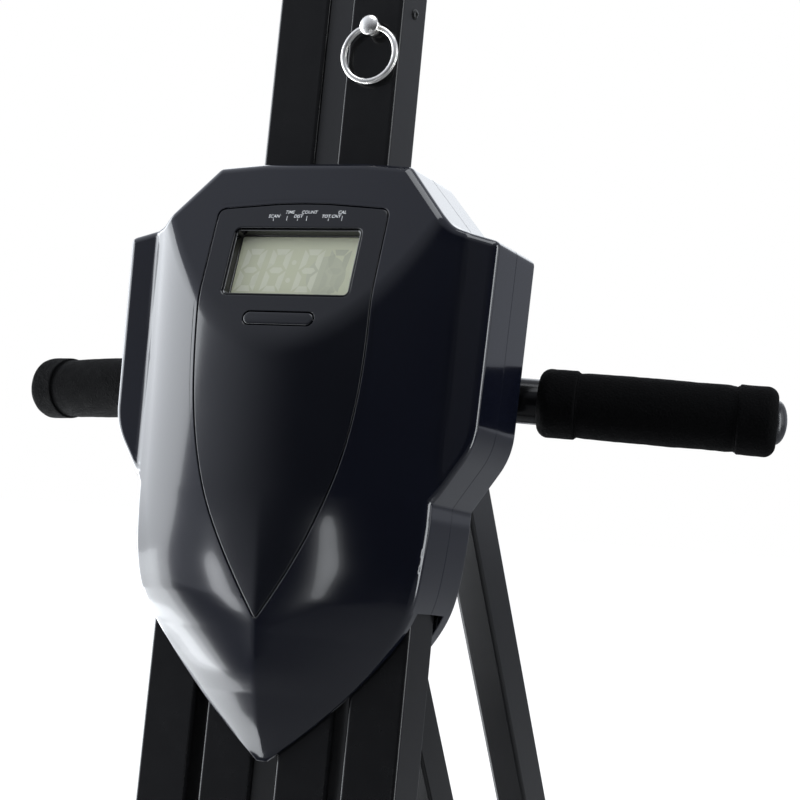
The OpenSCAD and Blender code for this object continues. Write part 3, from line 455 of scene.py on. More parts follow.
def softened(name, width):
    """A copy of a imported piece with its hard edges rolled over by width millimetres."""
    work = bmesh.new()
    work.from_mesh(frame["nodes"][name].data)
    bmesh.ops.remove_doubles(work, verts=work.verts, dist=2e-6)
    bmesh.ops.dissolve_limit(work, angle_limit=math.radians(0.6), verts=work.verts,
                             edges=work.edges)
    hard = [e for e in work.edges
            if len(e.link_faces) == 2 and e.calc_face_angle() > HARD_ANGLE]
    bmesh.ops.bevel(work, geom=hard, offset=width * MM, offset_type="OFFSET", segments=2,
                    profile=0.6, affect="EDGES", clamp_overlap=True)
    mesh = bpy.data.meshes.new(name + "_rolled")
    work.to_mesh(mesh)
    work.free()
    mesh.shade_smooth()
    mesh.set_sharp_from_angle(angle=SHARP_ANGLE)
    mesh.materials.append(FINISH[SLOT[name]])
    piece = placed(name + "_rolled", mesh)
    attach(piece, BODY[name])
    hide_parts(name)


# %% [markdown]
# ## The housing's outline and skin
# The housing is a shield: a raised middle with a keel down its lower half, cut across at the top
# by the flat display facet, on thin flat wings. Its outline is a list of corners and curves, and
# its face is one height function, so it can be sampled as finely as the gloss needs.

# %% Outline of the housing
WING_V, SEAM_V, BACK_V, SHELL = 12.0, 15.0, 42.0, 2.5
TUBE, POLE_U, UPRIGHT_U = 30.0, 21.45, 58.45
HIP = (78.7, -103.0)
NOTCH = 0.15


def unit(p):
    return p / np.linalg.norm(p)


def quad(a, b, c, t):
    a, b, c = (np.asarray(p, float) for p in (a, b, c))
    return (1 - t) ** 2 * a + 2 * t * (1 - t) * b + t * t * c


def cubic(a, b, c, d, t):
    return (1 - t) * quad(a, b, c, t) + t * quad(b, c, d, t)


def corner(a, b, c, r, n):
    """The corner at b rounded off, r its radius and n its steps."""
    a, b, c = (np.array(p, float) for p in (a, b, c))
    p, q = unit(a - b), unit(c - b)
    back = r / math.tan(math.acos(float(p @ q)) / 2)
    return [tuple(quad(b + p * back, b, b + q * back, i / n)) for i in range(n + 1)]


CREST_W, TIP_W = 122.0, -184.0
crest, crest_end, slope_end = (0, CREST_W), (28, CREST_W), (55, 119.8)
root, top, ear, waist = (82.9, 88.2), (106.4, 81.9), (103.6, -19.5), (83.9, -49.5)
waist_end, hip_start, hip_pull = (83.9, -75), (83.9, -52), (83.9, -77)
point_pull, tip = (60, -140), (2.5, TIP_W)
half = (corner(crest, crest_end, slope_end, 12, 4) + corner(crest_end, slope_end, root, 5, 5)
        + corner(slope_end, root, top, 10, 6) + corner(root, top, ear, 4, 6)
        + corner(top, ear, waist, 40, 32) + corner(ear, waist, waist_end, 3, 5)
        + [tuple(quad(hip_start, hip_pull, HIP, t)) for t in np.linspace(0.1, 1, 36)]
        + [(HIP[0] - 0.02, HIP[1] - NOTCH)]
        + [tuple(quad(HIP, point_pull, tip, t)) for t in np.linspace(0.03, 1, 70)])
half = np.array(half)


def eased(points, high, low, reach, fade=14.0):
    """Evens out the half-widths between two levels, so the shield's hip has no corner."""
    w = points[:, 1]
    inner = (w < high) & (w > low)
    fine = np.arange(low - reach, high + reach, 0.5)
    values = np.interp(fine, w[::-1], points[::-1, 0])
    kernel = np.hanning(4 * reach + 1)
    even = np.convolve(values, kernel / kernel.sum(), "same")
    share = np.clip(np.minimum(high - w, w - low) / fade, 0, 1)
    points[:, 0] = np.where(inner, points[:, 0] * (1 - share)
                            + np.interp(w, fine, even) * share, points[:, 0])
    return points


half = eased(half, -56.0, -160.0, 22)
OUTLINE = np.vstack([half[::-1], np.column_stack([-half[:, 0], half[:, 1]])])


def resampled(loop, gap):
    """Adds points along a closed loop so that none of its steps is longer than gap."""
    points = []
    for a, b in zip(loop, np.roll(loop, -1, axis=0)):
        n = max(1, int(math.ceil(np.linalg.norm(b - a) / gap)))
        points.extend(a + (b - a) * i / n for i in range(n))
    return np.array(points)


# %% Height of the housing's face
def smoothed(table, spread):
    w, v = np.array(table, float).T
    fine = np.arange(-230.0, 171.0, 1.0)
    values = np.interp(fine, w, v)
    low = v[0] + (v[1] - v[0]) / (w[1] - w[0]) * (fine - w[0])
    values = np.where(fine < w[0], low, values)
    kernel = np.hanning(2 * spread + 1)
    return fine, np.convolve(np.pad(values, spread, mode="edge"), kernel / kernel.sum(), "valid")


KEEL = smoothed([[-184, -0.5], [-168, -9.6], [-140, -20.5], [-111, -26], [-60, -32], [0, -35],
                 [130, -40]], 12)
EDGE = smoothed([[-184, -1.5], [-136, -2.5], [-84, -WING_V], [130, -WING_V]], 16)
SWELL = smoothed([[-184, 2.5], [-104, 78.7], [-50, 84], [0, 85], [81, 87.6], [130, 92]], 6)
LOW = half[half[:, 1] <= HIP[1]][::-1]
FACET_K = 0.2475
FACET_TILT = math.atan(FACET_K)
BASE_FILLET, CREASE = 5.0, 2.2
KEEL_SHARE, KEEL_FROM, KEEL_OVER, KEEL_ROUND = 0.55, -50.0, 70.0, 0.02
CROWN_POWER, FALL = 0.8, 6.0


def facet_v(w):
    return -WING_V - FACET_K * (CREST_W - w)


def soft_low(a, b, r):
    return np.minimum(a, b) - np.maximum(r - np.abs(a - b), 0) ** 2 / (4 * r)


def soft_high(a, b, r):
    return np.maximum(a, b) + np.maximum(r - np.abs(a - b), 0) ** 2 / (4 * r)


def face_v(u, w):
    """Depth of the face at (u, w): the keeled middle, its wings and the facet across the top."""
    low = w < HIP[1]
    b = np.where(low, np.interp(w, LOW[:, 1], LOW[:, 0]), np.interp(w, *SWELL))
    edge, keel = np.interp(w, *EDGE), np.interp(w, *KEEL)
    t = np.abs(u) / b
    k = KEEL_SHARE * np.clip((KEEL_FROM - w) / KEEL_OVER, 0, 1)
    ridge = np.sqrt(t * t + KEEL_ROUND ** 2) - KEEL_ROUND
    crown = (1 - k) * np.maximum(1 - t * t, 0) ** CROWN_POWER + k * np.maximum(1 - ridge, 0)
    crown = np.where(t > 1, -FALL * (t - 1), crown)
    middle = edge + (keel - edge) * crown
    wings = soft_low(edge, middle, BASE_FILLET)
    v = np.where(low, np.minimum(middle, edge), wings)
    return soft_high(facet_v(w), v, CREASE)


print("keel at the hip", round(float(face_v(np.array([0.0]), np.array([HIP[1]]))[0]), 2))


# %% [markdown]
# ## Faces with rolled edges
# A glossy moulding shows every ripple, so its face is a dense Delaunay mesh on the height
# function, with its normals worked out from that function too. Extra rows of points follow each
# edge, where the face rolls over.

# %% Distance to a loop, which side of it, and its normals
def to_loop(points, loop):
    """Distance from each point to a closed loop."""
    a, b = loop, np.roll(loop, -1, axis=0)
    best = np.full(len(points), 1e9)
    for start, end in zip(a, b):
        d = end - start
        t = np.clip(((points - start) @ d) / max(d @ d, 1e-12), 0, 1)
        best = np.minimum(best, np.linalg.norm(points - start - t[:, None] * d, axis=1))
    return best


def inside(points, loop):
    a, b = loop, np.roll(loop, -1, axis=0)
    odd = np.zeros(len(points), bool)
    x, y = points[:, 0], points[:, 1]
    for (ax, ay), (bx, by) in zip(a, b):
        if ay == by:
            continue
        crosses = (ay > y) != (by > y)
        odd ^= crosses & (x < (bx - ax) * (y - ay) / (by - ay) + ax)
    return odd


def loop_normals(loop):
    """Outward normals of a counter-clockwise loop at its points."""
    step = np.roll(loop, -1, axis=0) - loop
    step /= np.maximum(np.linalg.norm(step, axis=1), 1e-9)[:, None]
    out = np.column_stack([step[:, 1], -step[:, 0]])
    both = out + np.roll(out, 1, axis=0)
    return both / np.maximum(np.linalg.norm(both, axis=1), 1e-9)[:, None]


# %% A moulded face
class Edge:
    """A boundary of a moulded face: its loop, roll radius and where its wall ends."""

    def __init__(self, loop, radius, wall):
        self.loop = np.asarray(loop, float)
        self.radius = radius if callable(radius) else (lambda w, r=radius: np.full_like(w, r))
        self.wall = wall if callable(wall) else (lambda u, w, v=wall: np.full_like(w, v))


def rolled(points, surface, edges, facing):
    u, w = points[:, 0], points[:, 1]
    v = surface(u, w)
    for edge in edges:
        r = np.maximum(edge.radius(w), 1e-3)
        d = np.minimum(to_loop(points, edge.loop), r)
        v = v - facing * (r - np.sqrt(np.maximum(r * r - (r - d) ** 2, 0)))
    return v


ROLL_ROWS = (0.05, 0.16, 0.34, 0.6, 1.0, 1.5)
GRID_SHIFT, SLOPE_STEP, LIP, UPRIGHT = (0.37, 0.41), 0.03, 0.35, 0.02


def within(points, edges):
    """Which points lie inside the first edge's loop and outside all the others'."""
    ok = inside(points, edges[0].loop)
    for e in edges[1:]:
        ok &= ~inside(points, e.loop)
    return ok


def face_points(edges, loops, spacing):
    """The loops' own points, closer rows along each roll and an even grid between them."""
    outer = edges[0]
    boundary = np.vstack(loops)
    points = [boundary]
    for e, loop in zip(edges, loops):
        inward = -loop_normals(loop) if e is outer else loop_normals(loop)
        reach = e.radius(loop[:, 1])[:, None]
        for part in ROLL_ROWS:
            ring = loop + inward * reach * part
            clear = to_loop(ring, e.loop) > 0.94 * reach[:, 0] * part
            points.append(ring[clear])
    low, high = outer.loop.min(0), outer.loop.max(0)
    columns, rows = (np.arange(low[i] + GRID_SHIFT[i], high[i], spacing) for i in (0, 1))
    grid = np.stack(np.meshgrid(columns, rows), -1).reshape(-1, 2)
    keep = np.ones(len(grid), bool)
    for e in edges:
        keep &= to_loop(grid, e.loop) > np.maximum(e.radius(grid[:, 1]) * 1.5, 0.3) + 0.4 * spacing
    points = np.vstack([*points, grid[keep]])
    ok = within(points, edges)
    ok[:len(boundary)] = True
    return points[ok]


def face_mesh(edges, loops, spacing):
    """Points and triangles of the face, and which of the points each loop's point became."""
    links, first = [], 0
    for loop in loops:
        n = len(loop)
        links += [(first + k, first + (k + 1) % n) for k in range(n)]
        first += n
    flat = delaunay_2d_cdt([Vector(p) for p in face_points(edges, loops, spacing)], links, [], 0,
                           1e-5)
    points = np.array([tuple(p) for p in flat[0]])
    faces = np.array([f for f in flat[2] if len(f) == 3])
    faces = faces[within(points[faces].mean(axis=1), edges)]
    place = {index: k for k, given in enumerate(flat[3]) for index in given}
    return points, faces, place


def moulded(name, outer, holes, surface, facing, spacing, slot_name, body,
            thickness=SHELL, replaced=()):
    """A closed moulding: a dense face with rolled edges, walls, and an inner face behind it."""
    edges = [outer, *holes]
    loops = [resampled(e.loop, spacing) for e in edges]
    points, faces, place = face_mesh(edges, loops, spacing)
    v = rolled(points, surface, edges, facing)
    slope = [(rolled(points + d, surface, edges, facing)
              - rolled(points - d, surface, edges, facing)) / (2 * SLOPE_STEP)
             for d in SLOPE_STEP * np.eye(2)]
    normal = facing * np.column_stack([-slope[0], np.ones(len(points)), -slope[1]])
    solid = [np.column_stack([points[:, 0], v, points[:, 1]])]
    quads, rims, start, count = [], [], 0, len(points)
    for e, loop in zip(edges, loops):
        n = len(loop)
        rim = np.array([place[start + k] for k in range(n)])
        outward = loop_normals(loop) * (1 if e is outer else -1)
        side = np.column_stack([outward[:, 0], np.zeros(n), outward[:, 1]])
        normal[rim] = side
        end = e.wall(loop[:, 0], loop[:, 1])
        below = [rim]
        for offset, shift in ((LIP, 0.0), (0.0, LIP)):
            row = np.column_stack([loop[:, 0], end + facing * offset, loop[:, 1]])
            solid.append(row - side * shift)
            normal = np.vstack([normal, side])
            below.append(np.arange(count, count + n))
            count += n
        for a, b in zip(below, below[1:]):
            quads += [(a[k], b[k], b[(k + 1) % n], a[(k + 1) % n]) for k in range(n)]
        rims.append(below[-1])
        start += n
    solid = np.vstack(solid)
    normal /= np.linalg.norm(normal, axis=1)[:, None]
    inner = solid - normal * thickness
    inner[:, 1] = np.where(np.abs(normal[:, 1]) < UPRIGHT, solid[:, 1], inner[:, 1])
    total = len(solid)
    all_faces = [tuple(f) for f in faces] + quads
    shown = len(all_faces)
    all_faces += [tuple(i + total for i in f[::-1]) for f in all_faces[:shown]]
    for rim in rims:
        n = len(rim)
        all_faces += [(rim[k], rim[k] + total, rim[(k + 1) % n] + total, rim[(k + 1) % n])
                      for k in range(n)]
    directions = np.vstack([normal, -normal]) @ np.array([ACROSS, BACK, UP])
    outward = [directions[list(f)].sum(axis=0) for f in all_faces[:2 * shown]]
    outward += [-facing * np.array(BACK)] * (len(all_faces) - 2 * shown)
    piece = add_piece(name, mast_array(np.vstack([solid, inner])), all_faces, slot_name, body,
                      replaced=replaced, outward=outward)
    set_normals(piece.data, directions, 2 * shown)


def set_normals(mesh, directions, skinned):
    """The given normals on the skin's corners, and each other face's own on its corners."""
    corners = []
    for face in mesh.polygons:
        for index in face.vertices:
            corners.append(tuple(directions[index]) if face.index < skinned
                           else tuple(face.normal))
    mesh.normals_split_custom_set(corners)


# %% [markdown]
# ## Front shell
# A high-gloss injection moulding. The computer's panel sits in a hole in it with a fine groove
# all round, so the hole's edge is rolled too and the gap between the two stays dark.

# %% Panel outline
PANEL_GAP = 0.28
panel_half = np.array(
    [(0.0, 99.0), (14.0, 98.7)] + corner((30, 97.6), (49, 96.0), (49, 50), 5, 8)
    + [tuple(cubic((49, 50), (49, -25), (38, -58), (0.6, -112.6), t))
       for t in np.linspace(0, 1, 48)])
PANEL = np.vstack([panel_half[::-1], np.column_stack([-panel_half[1:, 0], panel_half[1:, 1]])])


def grown(loop, by):
    return loop + loop_normals(loop) * by


# %% Make the front shell
def groove_floor(_, w):
    return np.maximum(facet_v(w) + 2.5, -22.0)


def front_roll(w):
    return np.interp(w, [-184, -136, -110, -60, 122], [0.45, 1.0, 2.6, 3.6, 4.2])


def over_poles(u, w):
    """The stretch of the top edge that the poles slide past."""
    return (w > 100.0) & (np.abs(u) < POLE_U + TUBE / 2 + 0.9)


def front_rim(u, w):
    rim = np.where(w >= HIP[1] - NOTCH / 2, SEAM_V, -1.0)
    return np.where(over_poles(u, w), -1.0, rim)


def front_skin(u, w):
    """The face, held clear of the poles at its low tip."""
    return face_v(u, w) - np.interp(w, [-184.0, -150.0], [1.6, 0.0])


moulded(
    "housing_front", Edge(OUTLINE, front_roll, front_rim),
    [Edge(grown(PANEL, PANEL_GAP), 0.55, groove_floor)],
    front_skin, -1, 1.7, "housing", "root", replaced=("front_cover",))

# %% [markdown]
# ## Computer panel
# The panel carries on the housing's skin, so it uses the same height function. It has a window
# and a slot for the button, and both holes' edges are rolled over.

# %% Make the panel
LCD_B, LCD_H, LCD_W, LCD_DEEP, LCD_CORNER = 73.0, 37.7, 67.3, 5.5, 3.4
BUTTON_L, BUTTON_B, BUTTON_W, BUTTON_GAP = 40.0, 7.2, 36.8, 0.5


def hole_floor(_, w):
    return facet_v(w) + 3.0


def on_face(loop, w0):
    """A loop drawn on the sloping facet, seen in (u, w)."""
    loop = np.array(loop)
    return np.column_stack([loop[:, 0], w0 + loop[:, 1] * math.cos(FACET_TILT)])


moulded(
    "computer_panel", Edge(grown(PANEL, -PANEL_GAP), 0.5, groove_floor),
    [Edge(on_face(rounded_loop(LCD_B, LCD_H, LCD_CORNER), LCD_W), 0.8, hole_floor),
     Edge(on_face(rounded_loop(BUTTON_L + BUTTON_GAP, BUTTON_B + BUTTON_GAP, BUTTON_B / 2),
                  BUTTON_W), 0.45, hole_floor)],
    face_v, -1, 1.3, "console", "root", thickness=1.2, replaced=("console_panel",))


# %% [markdown]
# ## Window, display and button
# These sit on the sloping facet, so they get axes of their own: x across, y into the housing and
# z up the facet. The bezel slopes in from the panel to the glass.

# %% Facet axes
def facet(w0):
    c, s = math.cos(FACET_TILT), math.sin(FACET_TILT)

    def place(x, y, z):
        return mast(x, facet_v(w0) + y * c + z * s, w0 - y * s + z * c)
    return place


def facet_loops(place, profile, b, h, r):
    return [[place(x, depth, z) for x, z in rounded_loop(b, h, r, inset)]
            for inset, depth in profile]


# %% Bezel
at_lcd = facet(LCD_W)
bezel_profile = [(0.25, 3.4), (0.25, 1.0), (0.4, 0.6), (0.75, 0.42), (1.1, 0.55), (1.35, 1.0),
                 (1.75, 4.9), (2.0, LCD_DEEP - 0.1), (2.6, LCD_DEEP - 0.1)]
rows, faces = stack(facet_loops(at_lcd, bezel_profile, LCD_B, LCD_H, LCD_CORNER),
                    closed=False)
add_piece("window_bezel", rows, faces, "bezel", "root", smooth=42, replaced=("lcd_bezel",))

# %% Display
rows, faces = stack(facet_loops(at_lcd, [(1.9, LCD_DEEP + 1.7), (1.9, LCD_DEEP), (2.1, LCD_DEEP)],
                                LCD_B, LCD_H, 3.0))
add_piece("display", rows, faces, "lcd", "root", smooth=30, replaced=("lcd_glass",))


# %% Idle segments
DIGIT_B, DIGIT_H, DIGIT_BAR, DIGIT_LOW, SLANT = 11.6, 24.0, 3.3, -14.5, 0.14
DIGIT_LEFTS, LAST_LEFT = (-33.0, -18.0, 0.5), 15.5
DOT_X, DOT_ZS, DOT_R = -3.4, (-8.0, 2.0), 1.4
# Place and size of the painted round shadow on the display.
PAINTED_SHADOW_X, PAINTED_SHADOW_Z, PAINTED_SHADOW_R = 18.5, -5.2, 11.0


def digit_parts(left):
    """The seven bars of a figure eight with its lower left corner at left, DIGIT_LOW."""
    def lean(x, z):
        return (left + x + SLANT * z, DIGIT_LOW + z)
    w, h, t, g, m = DIGIT_B, DIGIT_H, DIGIT_BAR, 0.2, DIGIT_H / 2
    level = [[lean(g + t / 2, z), lean(w - g - t / 2, z), lean(w - g - t, z + s * t),
              lean(g + t, z + s * t)] for z, s in ((0, 1), (h, -1))]
    middle = [[lean(g + t / 2, m), lean(g + t, m + t / 2), lean(w - g - t, m + t / 2),
               lean(w - g - t / 2, m), lean(w - g - t, m - t / 2), lean(g + t, m - t / 2)]]
    posts = []
    for x, s in ((0, 1), (w, -1)):
        for a, b in ((g, m - g), (m + g, h - g)):
            posts.append([lean(x, a), lean(x, b), lean(x + s * t, b - t), lean(x + s * t, a + t)])
    return level + middle + posts


def on_glass(name, shapes, look, lift):
    """Flat shapes that lie just in front of the display."""
    rows, faces = [], []
    for shape in shapes:
        faces.append(tuple(range(len(rows), len(rows) + len(shape))))
        rows += [at_lcd(x, LCD_DEEP - lift, z) for x, z in shape]
    add_piece(name, rows, faces, "lcd", "root", look=look)


# A darker disc laid on the glass: painted shadow over the display's lower right.
on_glass("display_painted_shadow", [circle(PAINTED_SHADOW_X, PAINTED_SHADOW_Z, PAINTED_SHADOW_R, 48)], "painted_shadow", 0.02)
# The last digit is drawn in darker segments: painted shade under the painted round shadow.
on_glass("last_digit", digit_parts(LAST_LEFT), "painted_shade_segments", 0.05)
dots = [circle(DOT_X + SLANT * (z - DIGIT_LOW), z, DOT_R, 12) for z in DOT_ZS]
on_glass("idle_digits", [bar for left in DIGIT_LEFTS for bar in digit_parts(left)] + dots,
         "segments", 0.05)

# %% Button
at_button = facet(BUTTON_W)
press_profile = [(0.3, 4.6), (0.3, 0.25), (0.38, 0.0), (0.6, -0.2), (1.0, -0.3), (2.0, -0.36)]
rows, faces = stack(facet_loops(at_button, press_profile, BUTTON_L, BUTTON_B, BUTTON_B / 2))
add_piece("mode_bar", rows, faces, "console", "mode_button", smooth=45, replaced=("mode_button",))

# %% [markdown]
# ## Printed words
# Plain function words above the window, each with a tick that points at its place on the
# display. They are text turned into thin meshes, so the print stays sharp from any side.

# %% Words and ticks
def words(text, x, z, size):
    curve = bpy.data.curves.new(text, "FONT")
    curve.body, curve.size, curve.align_x = text, size, "CENTER"
    curve.resolution_u = 3
    curve.shear, curve.offset = 0.18, 0.03
    holder = placed(text, curve)
    bpy.context.view_layer.update()
    mesh = holder.to_mesh()
    points = [(v.co.x + x, v.co.y + z) for v in mesh.vertices]
    parts = [tuple(p.vertices) for p in mesh.polygons]
    holder.to_mesh_clear()
    bpy.data.objects.remove(holder)
    bpy.data.curves.remove(curve)
    return points, parts


def on_skin(point, lift):
    """Moves a point along the mast's back direction onto the panel's skin."""
    away = (point - mast(0, 0, 0)) / MM
    u, w = away.x, away.dot(UP)
    return mast(u, float(face_v(np.array([u]), np.array([w]))[0]) - lift, w)


PRINT_Z, ROW_GAP, TEXT_SIZE, INK_LIFT = 24.7, 2.3, 2.5, 0.17
TICK_HALF, TICK_LOW, TICK_TOPS = 0.14, -1.7, (-0.5, 1.0)
# Each word with the middle of its text, the place of its tick and its row.
WORDS = (("SCAN", -15.6, -15.6, 0), ("TIME", -6.9, -7.9, 1), ("DIST", -1.6, -1.6, 0),
         ("COUNT", 4.3, 3.5, 1), ("TOT.CNT", 17.2, 16.0, 0), ("CAL", 23.0, 23.6, 1))
rows, faces = [], []
for text, x, _, row in WORDS:
    points, parts = words(text, x, PRINT_Z + ROW_GAP * row, TEXT_SIZE)
    faces += [tuple(i + len(rows) for i in part) for part in parts]
    rows += [on_skin(at_lcd(px, 0.0, pz), INK_LIFT) for px, pz in points]
for _, _, x, row in WORDS:
    faces.append(tuple(range(len(rows), len(rows) + 4)))
    rows += [on_skin(at_lcd(x + dx, 0.0, PRINT_Z + dz), INK_LIFT)
             for dx, dz in ((-TICK_HALF, TICK_LOW), (TICK_HALF, TICK_LOW),
                            (TICK_HALF, TICK_TOPS[row]), (-TICK_HALF, TICK_TOPS[row]))]
add_piece("window_print", rows, faces, "console", "root", look="ink")

# %% [markdown]
# ## Rear shell
# The back half shares the outline. It is open where the belt, the legs' pivot and the handlebar
# stems come through, and below the hip only its back lobe is left, behind the tubes.

# %% Make the rear shell
LUG_HALF, LUG_LOW, LUG_HIGH = 51.7, 55.5, 93.5
STRAND_HALF, STRAND_LOW = 35.95, -150.0
STEM_V, STEM_W, STEM_HOLE_R = 55.0, 13.0, 13.0
window = [(STRAND_HALF, STRAND_LOW), (STRAND_HALF, LUG_LOW), (LUG_HALF, LUG_LOW),
          (LUG_HALF, LUG_HIGH), (-LUG_HALF, LUG_HIGH), (-LUG_HALF, LUG_LOW),
          (-STRAND_HALF, LUG_LOW), (-STRAND_HALF, STRAND_LOW)]
rear_holes = [Edge(window, 1.0, BACK_V - SHELL)]
rear_holes += [Edge(circle(s * UPRIGHT_U, STEM_W, STEM_HOLE_R), 0.8, BACK_V - SHELL)
               for _, s in SIDES]


def rear_rim(u, w):
    rim = np.where(w >= HIP[1] - NOTCH / 2, SEAM_V, TUBE + 1.5)
    return np.where(over_poles(u, w), TUBE + 1.0, rim)


moulded("housing_rear", Edge(OUTLINE, 3.0, rear_rim), rear_holes,
        lambda u, w: np.full_like(u, BACK_V), 1, 3.2, "housing", "root", replaced=("rear_cover",))

# %% [markdown]
# ## Foam grips
# Each grip is a moulded foam sleeve with a thicker collar at both ends. It is a turned profile
# whose skin is pushed in and out a little, because open foam is never quite round, and the pores
# come from the finish. The fixed pair sits on the housing's bars, the other on the handles.

# %% Where the bars run
BAR_REACH, GRIP_L, COLLAR = 48.0, 123.0, 21.0
SWEEP, DROOP = math.radians(14.5), math.radians(0.6)
GRIP_R, MID_R, BAR_R = 18.4, 17.4, 12.0


def fixed_bar(side):
    """Root and outward direction of a fixed handlebar."""
    way = mast_dir(side * math.cos(DROOP) * math.cos(SWEEP), math.cos(DROOP) * math.sin(SWEEP),
                   -math.sin(DROOP))
    return mast(side * UPRIGHT_U, STEM_V, STEM_W), way


HANDLE_TOP, BEND_R, BEND_LEAD, MID_V = 776.0, 55.0, 10.0, 15.0


def moving_bar(side):
    """Start and outward direction of a moving handle's grip."""
    at = mast(side * (POLE_U + BEND_R + BEND_LEAD), MID_V, HANDLE_TOP + BEND_R + raised(side))
    return at, Vector((side, 0.0, 0.0))


# %% Grip profile
def grip_profile(closed_end):
    r, m, soft, crease = GRIP_R - 0.3, MID_R - 0.2, 6.0, 0.35
    shape = [(BAR_R + 0.1, 1.5), (BAR_R + 0.1, 0.0)]
    shape += arc((r - soft, soft), soft, -90, 0, 9)
    shape += [(r, z) for z in np.linspace(soft + 2, COLLAR - 2.4, 6)]
    shape += arc((r - 1.2, COLLAR - 1.9), 1.2, 0, 80, 4)
    shape += [(m + 0.1, COLLAR - 0.4), (m - crease, COLLAR + 0.1), (m - crease, COLLAR + 0.5)]
    far = GRIP_L - COLLAR
    shape += [(m + 0.25 * math.sin(math.pi * t), COLLAR + 2.0 + (far - COLLAR - 4.0) * t)
              for t in np.linspace(0.03, 0.97, 32)]
    shape += [(m - crease, far - 0.5), (m - crease, far - 0.1), (m + 0.1, far + 0.4)]
    shape += arc((r - 1.2, far + 1.9), 1.2, -80, 0, 4)
    shape += [(r, z) for z in np.linspace(far + 2.4, GRIP_L - soft - 2, 6)]
    shape += arc((r - soft, GRIP_L - soft), soft, 0, 90, 9)
    if closed_end:
        shape += [(r * 0.5, GRIP_L), (0.6, GRIP_L)]
    else:
        shape += [(BAR_R + 0.1, GRIP_L), (BAR_R + 0.1, GRIP_L - 1.5)]
    return shape


# %% Make the grips
RANDOM = np.random.default_rng(7)
BROAD_LUMPS, FINE_LUMPS = (0.006, 0.0005), (0.0022, 0.00022)


def lumps(points, size, depth):
    """How far each point moves in a smooth seeded field, its size and depth in metres."""
    waves = RANDOM.normal(size=(10, 3)) / size
    phase = RANDOM.uniform(0, 2 * math.pi, 10)
    return depth * np.sin(points @ waves.T + phase).mean(axis=1)


def make_grip(name, node_name, body, start, way, closed_end):
    rows, faces = turned(grip_profile(closed_end), start, way, 96)
    rows = np.array([tuple(p) for p in rows])
    axis = np.array(way)
    along = (rows - np.array(start)) @ axis
    spoke = rows - np.array(start) - along[:, None] * axis
    length = np.maximum(np.linalg.norm(spoke, axis=1), 1e-6)
    push = lumps(rows, *BROAD_LUMPS) + lumps(rows, *FINE_LUMPS)
    push *= length > (BAR_R + 1.5) * MM
    rows += spoke / length[:, None] * push[:, None]
    piece = add_piece(name, rows, faces, "foam", body, smooth=75, replaced=(node_name,))


for label, side in SIDES:
    start, way = fixed_bar(side)
    make_grip(f"{label}_foam_grip", f"{label}_grip", "root", start + way * BAR_REACH * MM, way,
              False)
    make_grip(f"{label}_foam_handle", f"{label}_handle_grip", f"{label}_handle",
              *moving_bar(side), True)

# %% [markdown]
# ## Bar caps
# A smooth domed plug closes each fixed bar. Turned with a small rolled rim so it catches light.

# %% Make the caps
rows, faces = [], []
cap = [(0.4, -16.0), (BAR_R - 1.7, -16.0), (BAR_R - 1.7, -1.0), (BAR_R - 1.0, 0.2)]
cap += arc((BAR_R - 1.0, 1.4), 1.0, -90, 20, 5)
cap += [((BAR_R - 0.4) * math.cos(t), 2.0 + 6.0 * math.sin(t)) for t in np.linspace(0.12, 1.53, 16)]
for label, side in SIDES:
    start, way = fixed_bar(side)
    more, parts = turned(cap, start + way * (BAR_REACH + GRIP_L - 3.0) * MM, way, 64)
    faces += [tuple(i + len(rows) for i in part) for part in parts]
    rows += more
add_piece("bar_end_caps", rows, faces, "trim", "root", smooth=60, replaced=("bar_caps",))

# %% [markdown]
# ## Pull pins and rings
# The height pin is nickel plated: a stepped stem with a domed head, and through it hangs a split
# ring. The ring is one round wire wound twice, so it is a helix of two close turns.

# %% Pins
PIN_W, RING_D, RING_T, RING_V = 196.0, 31.8, 2.8, 3.6
pin_profile = [(0.4, -8.8), (2.9, -8.8), (2.9, 0.25), (3.7, 0.3), (4.0, 0.6), (4.0, 1.9),
               (2.3, 2.3), (2.3, 4.9), (4.0, 5.3), (4.0, 6.5)]
pin_profile += arc((4.9, 7.0), 0.5, -90, 0, 3)
pin_profile += [(5.3 * math.cos(t), 7.2 + 1.8 * math.sin(t)) for t in np.linspace(0.1, 1.5, 12)]
for label, side in SIDES:
    at = mast(side * POLE_U, 0.0, PIN_W + raised(side))
    rows, faces = turned(pin_profile, at, -BACK, 48)
    add_piece(f"{label}_pull_pin", rows, faces, "chrome", f"{label}_pin", smooth=35,
              replaced=(f"{label}_pin",))


# %% Rings
def split_ring(centre, wire, mean_r, turns=2.0, steps=150, sides=14):
    """A wire wound in close turns, tapering a little where its ends lie on the coil."""
    loops = []
    for i in range(steps + 1):
        part = i / steps
        turn = 2 * math.pi * turns * part + math.radians(70)
        spoke = ACROSS * math.cos(turn) + UP * math.sin(turn)
        shift = (part - 0.5) * wire * 1.02
        squeeze = min(1.0, 0.55 + 14 * min(part, 1 - part))
        loop = []
        for k in range(sides):
            a = 2 * math.pi * k / sides
            reach, deep = wire * math.cos(a) * 0.5, wire * math.sin(a) * 0.25
            loop.append(centre + (spoke * (mean_r + reach * squeeze) + BACK * (shift + deep
                        * squeeze)) * MM)
        loops.append(loop)
    return stack(loops)


for label, side in SIDES:
    ring_r = (RING_D - RING_T) / 2
    at = mast(side * POLE_U, -RING_V, PIN_W - ring_r + raised(side))
    rows, faces = split_ring(at, RING_T, ring_r)
    add_piece(f"{label}_split_ring", rows, faces, "chrome", f"{label}_ring", smooth=60,
              replaced=(f"{label}_ring",))

